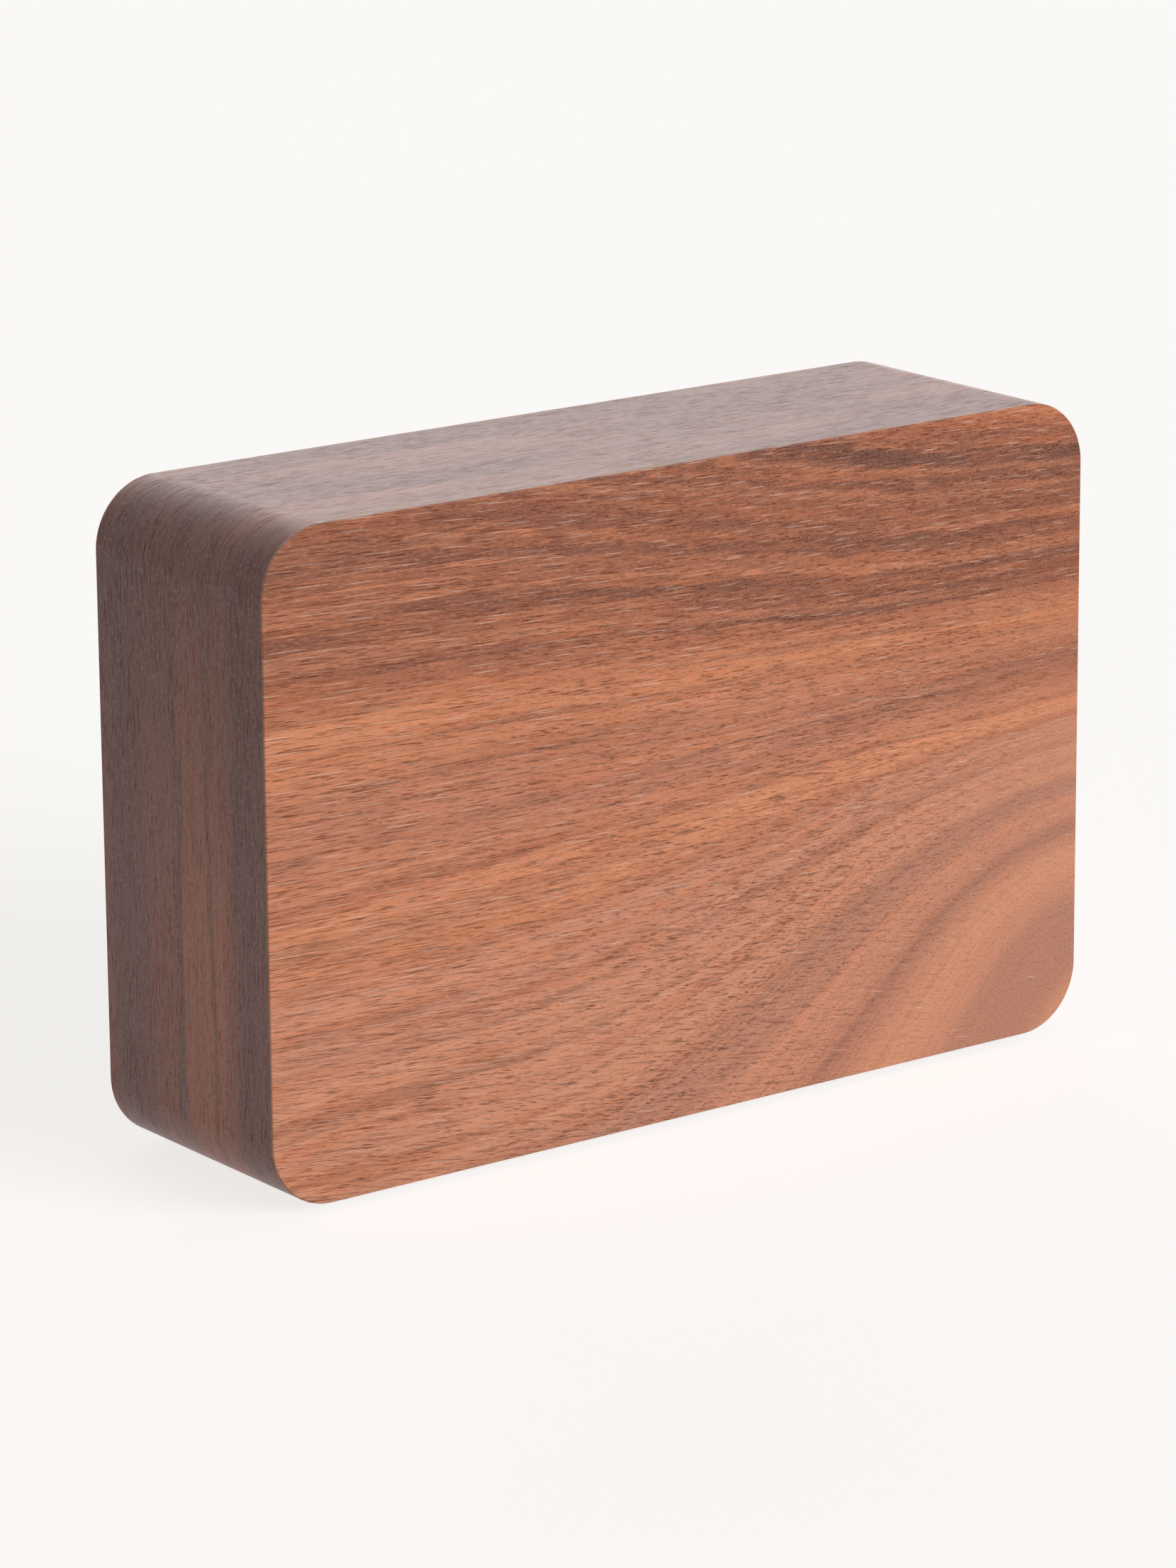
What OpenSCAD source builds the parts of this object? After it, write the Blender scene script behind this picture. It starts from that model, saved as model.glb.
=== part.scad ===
// Digital alarm clock in a walnut-veneered block case. The lit digits shine through the front veneer.
// Millimetres, +Z up. The front faces -Y. The origin lies on the table, under the middle of the case.

/* [Case] */
// Width of the case
case_w = 230; // [206:1:280]
// Height of the case, without its feet
case_h = 152; // [144:1:190]
// Depth of the case, from the front veneer to the rear rim
case_d = 65; // [58:0.5:90]
// Outer radius of the four long corners
corner_r = 15.5; // [11:0.5:22]
// Thickness of the fibreboard band round the case
wall_t = 9; // [7:0.5:10]
// Thickness of the fibreboard front
front_t = 9; // [7:0.5:12]
// Thickness of the walnut veneer
veneer_t = 0.6; // [0.4:0.1:1]
// Width of the butt seam in the band's veneer, under the case
seam_w = 0.2; // [0.1:0.05:0.4]
// Diameter of a foot
foot_d = 14; // [10:0.5:18]
// Thickness of a foot
foot_t = 1.5; // [1:0.1:2.5]
// Distance from the case's side to a foot's centre
foot_side = 32; // [24:1:50]
// Distance from the case's front or rear to a foot's centre
foot_end = 15; // [12:0.5:20]

/* [Display] */
// Width of a lit digit
digit_w = 28; // [22:0.5:30]
// Height of a lit digit
digit_h = 50; // [42:0.5:58]
// Width of a segment
segment_w = 5.5; // [4.5:0.25:6.5]
// Gap between the tips of two segments, along each
segment_gap = 0.7; // [0.4:0.1:1.2]
// Opaque rim of a digit frame round its digit
frame_rim = 3; // [2:0.25:4]
// Diameter of a colon dot
colon_dot = 6; // [4:0.5:8]
// Distance between the two colon dots
colon_pitch = 20; // [14:0.5:28]
// Distance from the case's side to the outer digit frame
digit_side = 23; // [20:0.5:26]
// Thickness of the diffuser film behind the veneer
film_t = 0.25; // [0.15:0.05:0.5]
// Lamps in a segment
leds_per_segment = 3; // [2:1:4]

/* [Back] */
// Thickness of the back cover
cover_t = 3; // [2.6:0.1:3.6]
// Depth of the back cover's face inside the rear rim
cover_recess = 1.5; // [1:0.1:3]
// Side of a corner block
block_w = 18; // [15:0.5:22]
// Length of a corner block
block_l = 22; // [18:0.5:26]
// Thickness of the stiffening ribs
rib_t = 1.2; // [0.8:0.1:1.8]
// Height of the stiffening ribs
rib_h = 4; // [2.5:0.25:5]
// Height of the control row above the case's middle
control_rise = 30; // [27:0.5:34]
// Depth of the well that the controls stand in
well_depth = 1; // [0.6:0.1:1.3]
// Height of the well
well_h = 18; // [16:0.5:20]

/* [Controls] */
// Diameter of a button
button_d = 9; // [7:0.25:10]
// Distance between neighbouring controls
control_pitch = 20; // [18.5:0.25:20.5]
// Travel of a button
button_travel = 0.5; // [0.3:0.05:0.8]
// Height of a push switch with its plunger
tact_h = 5; // [4.6:0.1:6]
// Width of the sliding switch's knob
knob_w = 4; // [3:0.25:5]
// Travel of the sliding switch
knob_travel = 3; // [2:0.25:4]
// Width of the power inlet, which takes the moulded end of a plug
inlet_w = 12.8; // [12.4:0.1:14]
// Height of the power inlet
inlet_h = 7; // [6.6:0.1:8]
// Diameter of the buzzer
buzzer_d = 14; // [12:0.5:16]

/* [Batteries] */
// Diameter of a cell
cell_d = 10.5; // [10:0.1:11.5]
// Length of a cell, with its nub
cell_l = 44.5; // [43:0.1:46]
// Length of a contact spring, pressed by its cell
spring_l = 5; // [4:0.25:6]
// Turns of a contact spring
spring_turns = 3.5; // [2.5:0.5:4]
// Thickness of the battery bay's walls
bay_wall = 1.6; // [1.2:0.1:2]
// Distance of the battery bay's middle below the case's middle
bay_drop = 30; // [28:0.5:34]
// Thickness of the battery door
door_t = 2.4; // [2:0.1:2.8]
// Width of the ledge that the battery door closes on
door_ledge = 3.6; // [3:0.1:4.5]

/* [Clearances] */
// Clearance of glued and seated faces
seat_gap = 0.05; // [0.02:0.01:0.1]
// Clearance of pieces that slot into an opening
slot_gap = 0.2; // [0.1:0.05:0.3]
// Clearance of the back cover in the band
cover_gap = 0.3; // [0.2:0.05:0.5]

/* [Hidden] */
$fn = 64;
// Overshoot of cuts
over = 1;
spring_sides = 6;
spring_rings = 8;
lead_sides = 8;
lead_rings = 24;

// Case levels
y_front = -case_d / 2;
y_rear = case_d / 2;
z_mid = foot_t + case_h / 2;
inner_inset = veneer_t + seat_gap + wall_t;
least_corner_r = 1;
y_lining = y_front + veneer_t;
y_board = y_lining + front_t;
foot_chamfer = 0.4;

// Display
frame_w = digit_w + 2 * frame_rim;
frame_h = digit_h + 2 * frame_rim;
colon_w = colon_dot + 2 * frame_rim;
colon_h = colon_pitch + colon_w;
digits_w = case_w - 2 * digit_side;
// Fibreboard left between two windows
window_web = (digits_w - 4 * frame_w - colon_w) / 4;
digit_pitch = frame_w + window_web;
digit_x = [for (i = [0:3]) (i - 1.5) * digit_pitch + sign(i - 1.5) * (colon_w + window_web) / 2];
y_film = y_lining + film_t;
half_span_x = (digit_w - segment_w) / 2;
half_span_z = (digit_h - segment_w) / 2;
// Each segment: its middle across and up, its angle, and the distance between the corners that it joins
segments = concat(
    [for (k = [-1:1]) [0, k * half_span_z, 0, 2 * half_span_x]],
    [for (sx = [-1, 1], sz = [-1, 1]) [sx * half_span_x, sz * half_span_z / 2, 90, half_span_z]]);
led_l = 3;
led_w = 1.6;
led_h = 0.8;
pcb_t = 1.6;
pcb_side = 4;
pcb_end = 9;
display_pcb_w = digits_w + 2 * pcb_side;
display_pcb_h = frame_h + 2 * pcb_end;
display_screw_x = [-digit_x[3], 0, digit_x[3]];
display_screw_z = frame_h / 2 + pcb_end / 2;
display_screw_r = 1.3;
front_left = 3;
display_screw_l = front_t - front_left;
display_screw_head_r = 2.4;
pilot_spare = 1;
chip_w = 10;
chip_h = 4;
chip_t = 1.6;
socket_w = 12;
socket_h = 6;
socket_t = 7;
socket_wall = 1;
socket_floor = 1.5;
display_socket_rise = 18;
display_socket_z = z_mid + display_socket_rise;

// Back cover
y_cover = y_rear - cover_recess;
y_seat = y_cover - cover_t;
cover_inset = inner_inset + cover_gap;
half_inner_w = case_w / 2 - inner_inset;
half_inner_h = case_h / 2 - inner_inset;
back_screw_r = 1.5;
back_screw_head_r = 3.1;
back_screw_l = 14;
back_screw_recess = 1.2;
block_gap = 1;
lip_inset = 1.5;
rib_inset = 8;
rib_x = half_inner_w - block_w - rib_inset;

// Controls
z_control = z_mid + control_rise;
flange_t = 1.2;
flange_rim = 1.5;
flange_gap = 0.1;
cap_chamfer = 0.5;
dish_rim = 0.6;
dish_depth = 0.3;
y_flange = y_seat - flange_gap;
y_plunger = y_flange - flange_t;
y_control = y_plunger - tact_h;
button_x = [1.5 * control_pitch, 0.5 * control_pitch, -0.5 * control_pitch];
knob_x = -1.5 * control_pitch;
well_side = 2;
well_w = 4 * control_pitch + 2 * well_side;
well_r = well_h / 2 - 1;
tact_w = 6;
tact_body_h = 3.5;
plunger_r = 1.7;
plunger_foot = 1;
plunger_gap = 0.15;
knob_h = 5;
knob_body_w = 10;
knob_body_h = 5;
knob_body_t = 4;
knob_foot_w = 3;
knob_foot_h = 2;
knob_foot_t = 1.2;
knob_ridge_w = 0.7;
knob_groove_depth = 0.4;
// The knob rests at the end of its travel that lies towards +X
knob_rest_x = knob_x + knob_travel / 2;
well_apart = 16;
inlet_x = -well_w / 2 - well_apart;
inlet_r = 1.5;
usb_w = 8.94;
usb_h = 3.2;
usb_wall = 0.3;
usb_tongue_w = 6.7;
usb_tongue_h = 0.7;
usb_tongue_sink = 1;
usb_base_t = 1;
buzzer_x = well_w / 2 + well_apart;
buzzer_h = 5.5;
buzzer_port_r = 1.2;
buzzer_port_depth = 1;
sound_hole_r = 0.9;
sound_hole_pitch = 3;
mic_r = 3;
mic_h = 2.7;
mic_hole_r = 0.8;
mic_drop = 12.5;
control_pcb_side = 8;
control_pcb_w = 2 * buzzer_x + 2 * control_pcb_side;
control_pcb_h = 34;
boss_inset = 4;
boss_x = control_pcb_w / 2 - boss_inset;
boss_z = control_pcb_h / 2 - boss_inset;
boss_r = 2.8;
control_screw_r = 1.1;
control_screw_l = 4;
control_screw_head_r = 2.1;
y_control_back = y_control - pcb_t;
control_socket_z = z_control;
crystal_w = 10;
crystal_h = 4.6;
crystal_t = 3.5;
crystal_r = 2.2;
capacitor_r = 3.15;
capacitor_l = 8;
clock_chip_x = 25;
crystal_x = 40;
capacitor_x = -30;

// Batteries
z_bay = z_mid - bay_drop;
cells = 3;
cell_gap = 0.4;
cell_pitch = cell_d + cell_gap;
contact_t = 0.4;
contact_side = 9;
nub_l = 0.9;
nub_r = 1.9;
bay_w = 2 * contact_t + spring_l + cell_l + seat_gap;
bay_h = cells * cell_pitch + cell_gap;
y_ledge = y_cover - door_t - flange_gap;
bay_depth = cell_d + 2 * slot_gap;
y_bay_floor = y_ledge - bay_depth;
y_cell = y_bay_floor + slot_gap + cell_d / 2;
cell_z = [for (i = [0:cells - 1]) z_bay + (i - (cells - 1) / 2) * cell_pitch];
// The outer cells point to +X and the middle one to -X, so the three are in series
cell_way = [1, -1, 1];
cradle_t = 1.2;
cradle_h = 2.4;
door_r = 2;
door_w = bay_w + 2 * door_ledge;
door_h = bay_h + 2 * door_ledge;
hinge_y = y_cover - door_t / 2;
hinge_z = z_bay - door_h / 2 + door_t / 2;
hinge_pin_r = 0.6;
hinge_pin_l = 1.6;
pin_gap = 0.06;
latch_w = 16;
latch_l = 10;
latch_cut = 0.8;
latch_tab = 4;
latch_tab_t = 1;
latch_tab_w = latch_w - 4 * latch_cut;
grip_lines = 4;
grip_line_w = 0.6;
grip_line_pitch = 1.5;
grip_line_depth = 0.4;
thumb_r = 9;
thumb_floor = 1;
thumb_depth = cover_t - thumb_floor;
wire_r = 0.35;
spring_wide_r = 3.6;
spring_narrow_r = 2.2;
lead_r = 0.6;
lead_hole_r = 0.8;
lead_bow = 14;
lead_apart = 20;
lead_x = bay_w / 2 + lead_apart;
lead_drop = 11;

// Ribbon cable between the two circuit boards
ribbon_w = 8;
ribbon_t = 0.9;
ribbon_steps = 24;
ribbon_start_y = y_board + pcb_t + socket_floor + seat_gap;
ribbon_end_y = y_control_back - socket_floor - seat_gap;

button_names = ["set", "up", "down"];

// Outlines in the plane of the front, X across and Y up

module rounded_rect(w, h, r) {
    square([w - 2 * r, h], center = true);
    square([w, h - 2 * r], center = true);
    for (sx = [-1, 1], sy = [-1, 1])
        translate([sx * (w / 2 - r), sy * (h / 2 - r)]) circle(r);
}

module case_outline(inset) {
    translate([0, z_mid])
        rounded_rect(case_w - 2 * inset, case_h - 2 * inset, max(corner_r - inset, least_corner_r));
}

module case_ring(outer, inner) {
    difference() {
        case_outline(outer);
        case_outline(inner);
    }
}

module segment_outline(length) {
    tip = length / 2;
    half = segment_w / 2;
    flat = tip - half;
    polygon([[-tip, 0], [-flat, half], [flat, half], [tip, 0], [flat, -half], [-flat, -half]]);
}

module digit_outline() {
    for (s = segments)
        translate([s[0], s[1]]) rotate(s[2]) segment_outline(s[3] - 2 * segment_gap);
}

// Solids that stand on such an outline

module slab(y0, y1) {
    translate([0, y1, 0]) rotate([90, 0, 0]) linear_extrude(y1 - y0) children();
}

// A turned piece on the Y axis, from a profile of [radius, distance along +Y]
module turned(profile) {
    rotate([-90, 0, 0]) rotate_extrude() polygon(profile);
}

module round_bar(y0, y1, r) {
    translate([0, y0, 0]) rotate([-90, 0, 0]) cylinder(h = y1 - y0, r = r);
}

// Tubes swept along points, one ring of sides at each point

function unit(v) = v / norm(v);
function tangent(points, i) = unit(points[min(i + 1, len(points) - 1)] - points[max(i - 1, 0)]);
function ring(points, i, r, sides, side_way) =
    let (t = tangent(points, i), n = unit(cross(t, side_way)), b = cross(t, n))
    [for (k = [0:sides - 1]) points[i] + r * (cos(360 * k / sides) * n + sin(360 * k / sides) * b)];
function bezier(a, b, c, d, steps) =
    [for (i = [0:steps]) let (t = i / steps, u = 1 - t)
        u * u * u * a + 3 * u * u * t * b + 3 * u * t * t * c + t * t * t * d];

module tube(points, r, sides, side_way) {
    last = len(points) - 1;
    rings = [for (i = [0:last]) each ring(points, i, r, sides, side_way)];
    walls = [for (i = [0:last - 1], k = [0:sides - 1])
        let (a = i * sides + k, b = i * sides + (k + 1) % sides)
        each [[a, b + sides, b], [a, a + sides, b + sides]]];
    caps = [for (k = [1:sides - 2]) each
        [[0, k, k + 1], [last * sides, last * sides + k + 1, last * sides + k]]];
    polyhedron(rings, concat(walls, caps));
}

// Case

module case_band() {
    color("burlywood") slab(y_lining, y_rear - veneer_t) case_ring(veneer_t + seat_gap, inner_inset);
}

module band_veneer() {
    color("saddlebrown") slab(y_lining, y_rear - veneer_t) difference() {
        case_ring(0, veneer_t);
        translate([0, foot_t]) square([seam_w, 2 * corner_r], center = true);
    }
}

module front_veneer() {
    color("sienna") slab(y_front, y_lining) case_outline(0);
}

module rear_rim_veneer() {
    color("saddlebrown") slab(y_rear - veneer_t, y_rear) case_ring(0, inner_inset);
}

module front_board() {
    color("burlywood") difference() {
        slab(y_lining, y_board) difference() {
            case_outline(inner_inset + seat_gap);
            window_outlines(slot_gap);
        }
        at_display_screws()
            round_bar(y_board - display_screw_l - pilot_spare, y_board, display_screw_r + seat_gap);
    }
}

module window_outlines(gap) {
    for (x = digit_x)
        translate([x, z_mid]) square([frame_w + 2 * gap, frame_h + 2 * gap], center = true);
    translate([0, z_mid]) square([colon_w + 2 * gap, colon_h + 2 * gap], center = true);
}

module corner_block(i) {
    sx = i % 2 == 0 ? 1 : -1;
    sz = i < 3 ? 1 : -1;
    color("tan") difference() {
        slab(y_seat - block_l, y_seat) intersection() {
            case_outline(inner_inset + seat_gap);
            translate([sx * (half_inner_w - block_w / 2), z_mid + sz * (half_inner_h - block_w / 2)])
                square(block_w, center = true);
        }
        at_back_screws() round_bar(y_cover - back_screw_l - pilot_spare, y_seat, back_screw_r + seat_gap);
    }
}

module foot(i) {
    sx = i % 2 == 0 ? 1 : -1;
    sy = i < 3 ? -1 : 1;
    color("dimgray") translate([sx * (case_w / 2 - foot_side), sy * (case_d / 2 - foot_end), 0])
        rotate_extrude() polygon([[0, 0], [foot_d / 2 - foot_chamfer, 0], [foot_d / 2, foot_chamfer],
                                  [foot_d / 2, foot_t], [0, foot_t]]);
}

// Display

module digit_frame(i) {
    color("black") slab(y_film, y_board) translate([digit_x[i - 1], z_mid]) difference() {
        square([frame_w, frame_h], center = true);
        digit_outline();
    }
}

module colon_frame() {
    color("black") slab(y_film, y_board) translate([0, z_mid]) difference() {
        square([colon_w, colon_h], center = true);
        for (s = [-1, 1]) translate([0, s * colon_pitch / 2]) circle(d = colon_dot);
    }
}

module diffuser_films() {
    color("white") slab(y_lining, y_film) window_outlines(0);
}

module at_display_screws() {
    for (x = display_screw_x, s = [-1, 1])
        translate([x, 0, z_mid + s * display_screw_z]) children();
}

module display_board() {
    color("darkgreen") difference() {
        slab(y_board, y_board + pcb_t)
            translate([0, z_mid]) square([display_pcb_w, display_pcb_h], center = true);
        at_display_screws() round_bar(y_board - over, y_board + pcb_t + over, display_screw_r + slot_gap);
    }
}

module segment_leds() {
    color("lightyellow") slab(y_board - led_h, y_board) {
        for (x = digit_x, s = segments, k = [0:leds_per_segment - 1])
            translate([x + s[0], z_mid + s[1]]) rotate(s[2])
                translate([(k - (leds_per_segment - 1) / 2) * (s[3] - segment_w) / leds_per_segment, 0])
                    square([led_l, led_w], center = true);
        for (s = [-1, 1])
            translate([0, z_mid + s * colon_pitch / 2]) square([led_l, led_w], center = true);
    }
}

module driver_chips() {
    color("black") slab(y_board + pcb_t, y_board + pcb_t + chip_t)
        for (s = [-1, 1]) translate([s * digit_pitch, z_mid]) square([chip_w, chip_h], center = true);
}

// A wire socket whose mouth faces +Y, on a floor at y = 0
module socket_block() {
    difference() {
        slab(0, socket_t) square([socket_w, socket_h], center = true);
        slab(socket_floor, socket_t + over)
            square([socket_w - 2 * socket_wall, socket_h - 2 * socket_wall], center = true);
    }
}

module display_socket() {
    color("ivory") translate([0, y_board + pcb_t, display_socket_z]) socket_block();
}

module pan_screw(r, length, head_r) {
    head_t = head_r * 0.7;
    turned([[0, -length], [r, -length], [r, 0], [head_r, 0], [head_r, head_t * 0.6], [head_r * 0.6, head_t],
            [0, head_t]]);
}

module display_screws() {
    color("silver") at_display_screws()
        translate([0, y_board + pcb_t, 0])
            pan_screw(display_screw_r, display_screw_l + pcb_t, display_screw_head_r);
}

// Back cover

module at_back_screws() {
    for (sx = [-1, 1], sz = [-1, 1])
        translate([sx * (half_inner_w - block_w / 2), 0, z_mid + sz * (half_inner_h - block_w / 2)])
            children();
}

module at_bosses() {
    for (sx = [-1, 1], sz = [-1, 1]) translate([sx * boss_x, 0, z_control + sz * boss_z]) children();
}

module cover_ribs() {
    lip_w = 2 * (half_inner_w - block_w - block_gap);
    lip_h = 2 * (half_inner_h - block_w - block_gap);
    lip_x = half_inner_w - cover_gap - lip_inset - rib_t / 2;
    lip_z = half_inner_h - cover_gap - lip_inset - rib_t / 2;
    bay_side = bay_w / 2 + bay_wall;
    slab(y_seat - rib_h, y_seat) {
        for (s = [-1, 1]) {
            translate([0, z_mid + s * lip_z]) square([lip_w, rib_t], center = true);
            translate([s * lip_x, z_mid]) square([rib_t, lip_h], center = true);
            translate([s * rib_x, z_mid]) square([rib_t, 2 * lip_z], center = true);
            translate([s * (rib_x + bay_side) / 2, z_bay]) square([rib_x - bay_side, rib_t], center = true);
        }
    }
}

module bay_shell() {
    slab(y_ledge - bay_wall, y_seat)
        translate([0, z_bay])
            rounded_rect(door_w + 2 * slot_gap + 2 * bay_wall, door_h + 2 * slot_gap + 2 * bay_wall, door_r);
    slab(y_bay_floor - bay_wall, y_seat)
        translate([0, z_bay]) rounded_rect(bay_w + 2 * bay_wall, bay_h + 2 * bay_wall, bay_wall);
}

module bay_cuts() {
    slab(y_ledge, y_cover + over)
        translate([0, z_bay]) square([door_w + 2 * slot_gap, door_h + 2 * slot_gap], center = true);
    slab(y_bay_floor, y_cover + over) translate([0, z_bay]) square([bay_w, bay_h], center = true);
    // Sockets of the door's two hinge pins
    translate([0, hinge_y, hinge_z]) rotate([0, 90, 0])
        cylinder(h = door_w + 2 * slot_gap + 2 * hinge_pin_l, r = hinge_pin_r + pin_gap, center = true);
    // Hollow for a thumb above the door's tab
    slab(y_cover - thumb_depth, y_cover + over)
        translate([0, z_bay + door_h / 2]) circle(thumb_r);
    for (s = [-1, 1])
        translate([s * (bay_w / 2 + bay_wall / 2), y_cell, cell_z[s < 0 ? 0 : 2]]) rotate([0, 90, 0])
            cylinder(h = 2 * bay_wall, r = lead_hole_r, center = true);
}

module bay_cradles() {
    slab(y_bay_floor - bay_wall / 2, y_bay_floor + cradle_h)
        for (i = [1:cells - 1])
            translate([0, (cell_z[i - 1] + cell_z[i]) / 2])
                square([bay_w - 4 * contact_t, cradle_t], center = true);
}

module control_cuts() {
    slab(y_cover - well_depth, y_cover + over)
        translate([0, z_control]) rounded_rect(well_w, well_h, well_r);
    for (x = button_x)
        translate([x, 0, z_control]) round_bar(y_seat - over, y_cover + over, button_d / 2 + slot_gap);
    slab(y_seat - over, y_cover + over) {
        translate([knob_x, z_control])
            square([knob_w + knob_travel + 2 * slot_gap, knob_h + 2 * slot_gap], center = true);
        translate([inlet_x, z_control]) rounded_rect(inlet_w, inlet_h, inlet_r);
    }
    translate([buzzer_x, 0, z_control]) {
        round_bar(y_seat - over, y_cover + over, sound_hole_r);
        for (turn = [1:2], k = [0:6 * turn - 1])
            rotate([0, 60 * k / turn, 0]) translate([turn * sound_hole_pitch, 0, 0])
                round_bar(y_seat - over, y_cover + over, sound_hole_r);
    }
    translate([0, 0, z_control - mic_drop]) round_bar(y_seat - over, y_cover + over, mic_hole_r);
}

module back_cover() {
    color("#262626") difference() {
        union() {
            slab(y_seat, y_cover) case_outline(cover_inset);
            difference() {
                union() {
                    cover_ribs();
                    bay_shell();
                    at_bosses() round_bar(y_control, y_seat, boss_r);
                }
                bay_cuts();
            }
            bay_cradles();
        }
        bay_cuts_through_plate();
        control_cuts();
        at_bosses()
            round_bar(y_control - over, y_control + control_screw_l + pilot_spare, control_screw_r + seat_gap);
        at_back_screws() translate([0, y_cover, 0]) countersink(seat_gap);
    }
}

module bay_cuts_through_plate() {
    intersection() {
        bay_cuts();
        slab(y_seat, y_cover + over) case_outline(0);
    }
}

// Countersunk screw body, its head flush with y = 0 and its point towards -Y
module countersink(gap) {
    turned([[0, -back_screw_l], [back_screw_r + gap, -back_screw_l],
            [back_screw_r + gap, back_screw_r - back_screw_head_r], [back_screw_head_r + gap, 0],
            [back_screw_head_r + gap, gap], [0, gap]]);
}

module cross_recess(size, depth) {
    for (a = [0, 90])
        rotate([0, a, 0]) translate([0, -depth / 2, 0]) cube([size, depth + 0.2, size / 4], center = true);
}

module back_screws() {
    color("dimgray") at_back_screws() translate([0, y_cover, 0]) difference() {
        countersink(0);
        cross_recess(back_screw_head_r, back_screw_recess);
    }
}

// Controls

module control_board() {
    color("darkgreen") difference() {
        slab(y_control_back, y_control)
            translate([0, z_control]) square([control_pcb_w, control_pcb_h], center = true);
        at_bosses() round_bar(y_control_back - over, y_control + over, control_screw_r + slot_gap);
    }
}

module control_screws() {
    color("silver") at_bosses() translate([0, y_control_back, 0]) rotate([0, 0, 180])
        pan_screw(control_screw_r, control_screw_l + pcb_t, control_screw_head_r);
}

module button(i) {
    r = button_d / 2;
    rise = y_cover - y_flange;
    dish_r = r - cap_chamfer - dish_rim;
    dish_ball_r = (dish_r * dish_r + dish_depth * dish_depth) / (2 * dish_depth);
    color("#2e2e2e") translate([button_x[i], y_flange, z_control]) difference() {
        turned([[0, -flange_t], [r + flange_rim, -flange_t], [r + flange_rim, 0], [r, 0],
                [r, rise - cap_chamfer], [r - cap_chamfer, rise], [0, rise]]);
        translate([0, rise - dish_depth + dish_ball_r, 0]) sphere(dish_ball_r);
    }
}

module plunger(i) {
    color("black") translate([button_x[i], 0, z_control])
        round_bar(y_control + tact_body_h - plunger_foot, y_plunger, plunger_r);
}

module push_switch(i) {
    pocket = plunger_foot + button_travel + plunger_gap;
    color("silver") difference() {
        slab(y_control, y_control + tact_body_h)
            translate([button_x[i], z_control]) square(tact_w, center = true);
        translate([button_x[i], 0, z_control])
            round_bar(y_control + tact_body_h - pocket, y_control + tact_body_h + over, plunger_r + plunger_gap);
    }
}

module sound_switch() {
    color("gray") difference() {
        slab(y_control, y_control + knob_body_t)
            translate([knob_x, z_control]) square([knob_body_w, knob_body_h], center = true);
        slab(y_control + knob_body_t - knob_foot_t - slot_gap, y_control + knob_body_t + over)
            translate([knob_x, z_control])
                square([knob_foot_w + knob_travel + 2 * slot_gap, knob_foot_h + 2 * slot_gap], center = true);
    }
}

module sound_knob() {
    color("gainsboro") {
        slab(y_control + knob_body_t + slot_gap, y_cover - knob_groove_depth)
            translate([knob_rest_x, z_control]) square([knob_w, knob_h], center = true);
        // Ridges that a fingertip grips
        slab(y_cover - knob_groove_depth, y_cover)
            for (k = [-1:1])
                translate([knob_rest_x + k * (knob_w - knob_ridge_w) / 2, z_control])
                    square([knob_ridge_w, knob_h], center = true);
        slab(y_control + knob_body_t - knob_foot_t, y_control + knob_body_t + 2 * slot_gap)
            translate([knob_rest_x, z_control]) square([knob_foot_w, knob_foot_h], center = true);
    }
}

module usb_shell() {
    color("silver") slab(y_control, y_seat) translate([inlet_x, z_control]) difference() {
        rounded_rect(usb_w, usb_h, usb_h / 2 - 0.01);
        rounded_rect(usb_w - 2 * usb_wall, usb_h - 2 * usb_wall, usb_h / 2 - usb_wall - 0.01);
    }
}

module usb_tongue() {
    inner_w = usb_w - 2 * usb_wall - 2 * seat_gap;
    inner_h = usb_h - 2 * usb_wall - 2 * seat_gap;
    color("black") {
        slab(y_control, y_control + usb_base_t)
            translate([inlet_x, z_control]) rounded_rect(inner_w, inner_h, inner_h / 2 - 0.01);
        slab(y_control, y_seat - usb_tongue_sink)
            translate([inlet_x, z_control]) square([usb_tongue_w, usb_tongue_h], center = true);
    }
}

module buzzer() {
    color("black") translate([buzzer_x, 0, z_control]) difference() {
        round_bar(y_control, y_control + buzzer_h, buzzer_d / 2);
        round_bar(y_control + buzzer_h - buzzer_port_depth, y_control + buzzer_h + over, buzzer_port_r);
    }
}

module microphone() {
    color("silver") translate([0, 0, z_control - mic_drop]) round_bar(y_control, y_control + mic_h, mic_r);
}

module clock_chip() {
    color("black") slab(y_control_back - chip_t, y_control_back)
        translate([clock_chip_x, z_control]) square(chip_w, center = true);
}

module crystal() {
    color("silver") slab(y_control_back - crystal_t, y_control_back)
        translate([crystal_x, z_control]) rounded_rect(crystal_w, crystal_h, crystal_r);
}

module capacitor() {
    color("navy") translate([capacitor_x, 0, z_control])
        round_bar(y_control_back - capacitor_l, y_control_back, capacitor_r);
}

module control_socket() {
    color("ivory") translate([0, y_control_back, control_socket_z]) rotate([0, 0, 180]) socket_block();
}

module ribbon_cable() {
    run = ribbon_end_y - ribbon_start_y;
    rise = control_socket_z - display_socket_z;
    // The cable leaves both sockets square and climbs between them in half a cosine wave
    lead_in = socket_t;
    function height(t) = display_socket_z + rise * (1 - cos(180 * max(0, min(1, t)))) / 2;
    line = [for (i = [0:ribbon_steps]) let (y = ribbon_start_y + run * i / ribbon_steps)
        [y, height((y - ribbon_start_y - lead_in) / (run - 2 * lead_in))]];
    color("lightgray") translate([-ribbon_w / 2, 0, 0]) rotate([90, 0, 90]) linear_extrude(ribbon_w)
        polygon(concat([for (p = line) p + [0, ribbon_t / 2]],
                       [for (i = [ribbon_steps:-1:0]) line[i] - [0, ribbon_t / 2]]));
}

// Batteries

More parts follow.
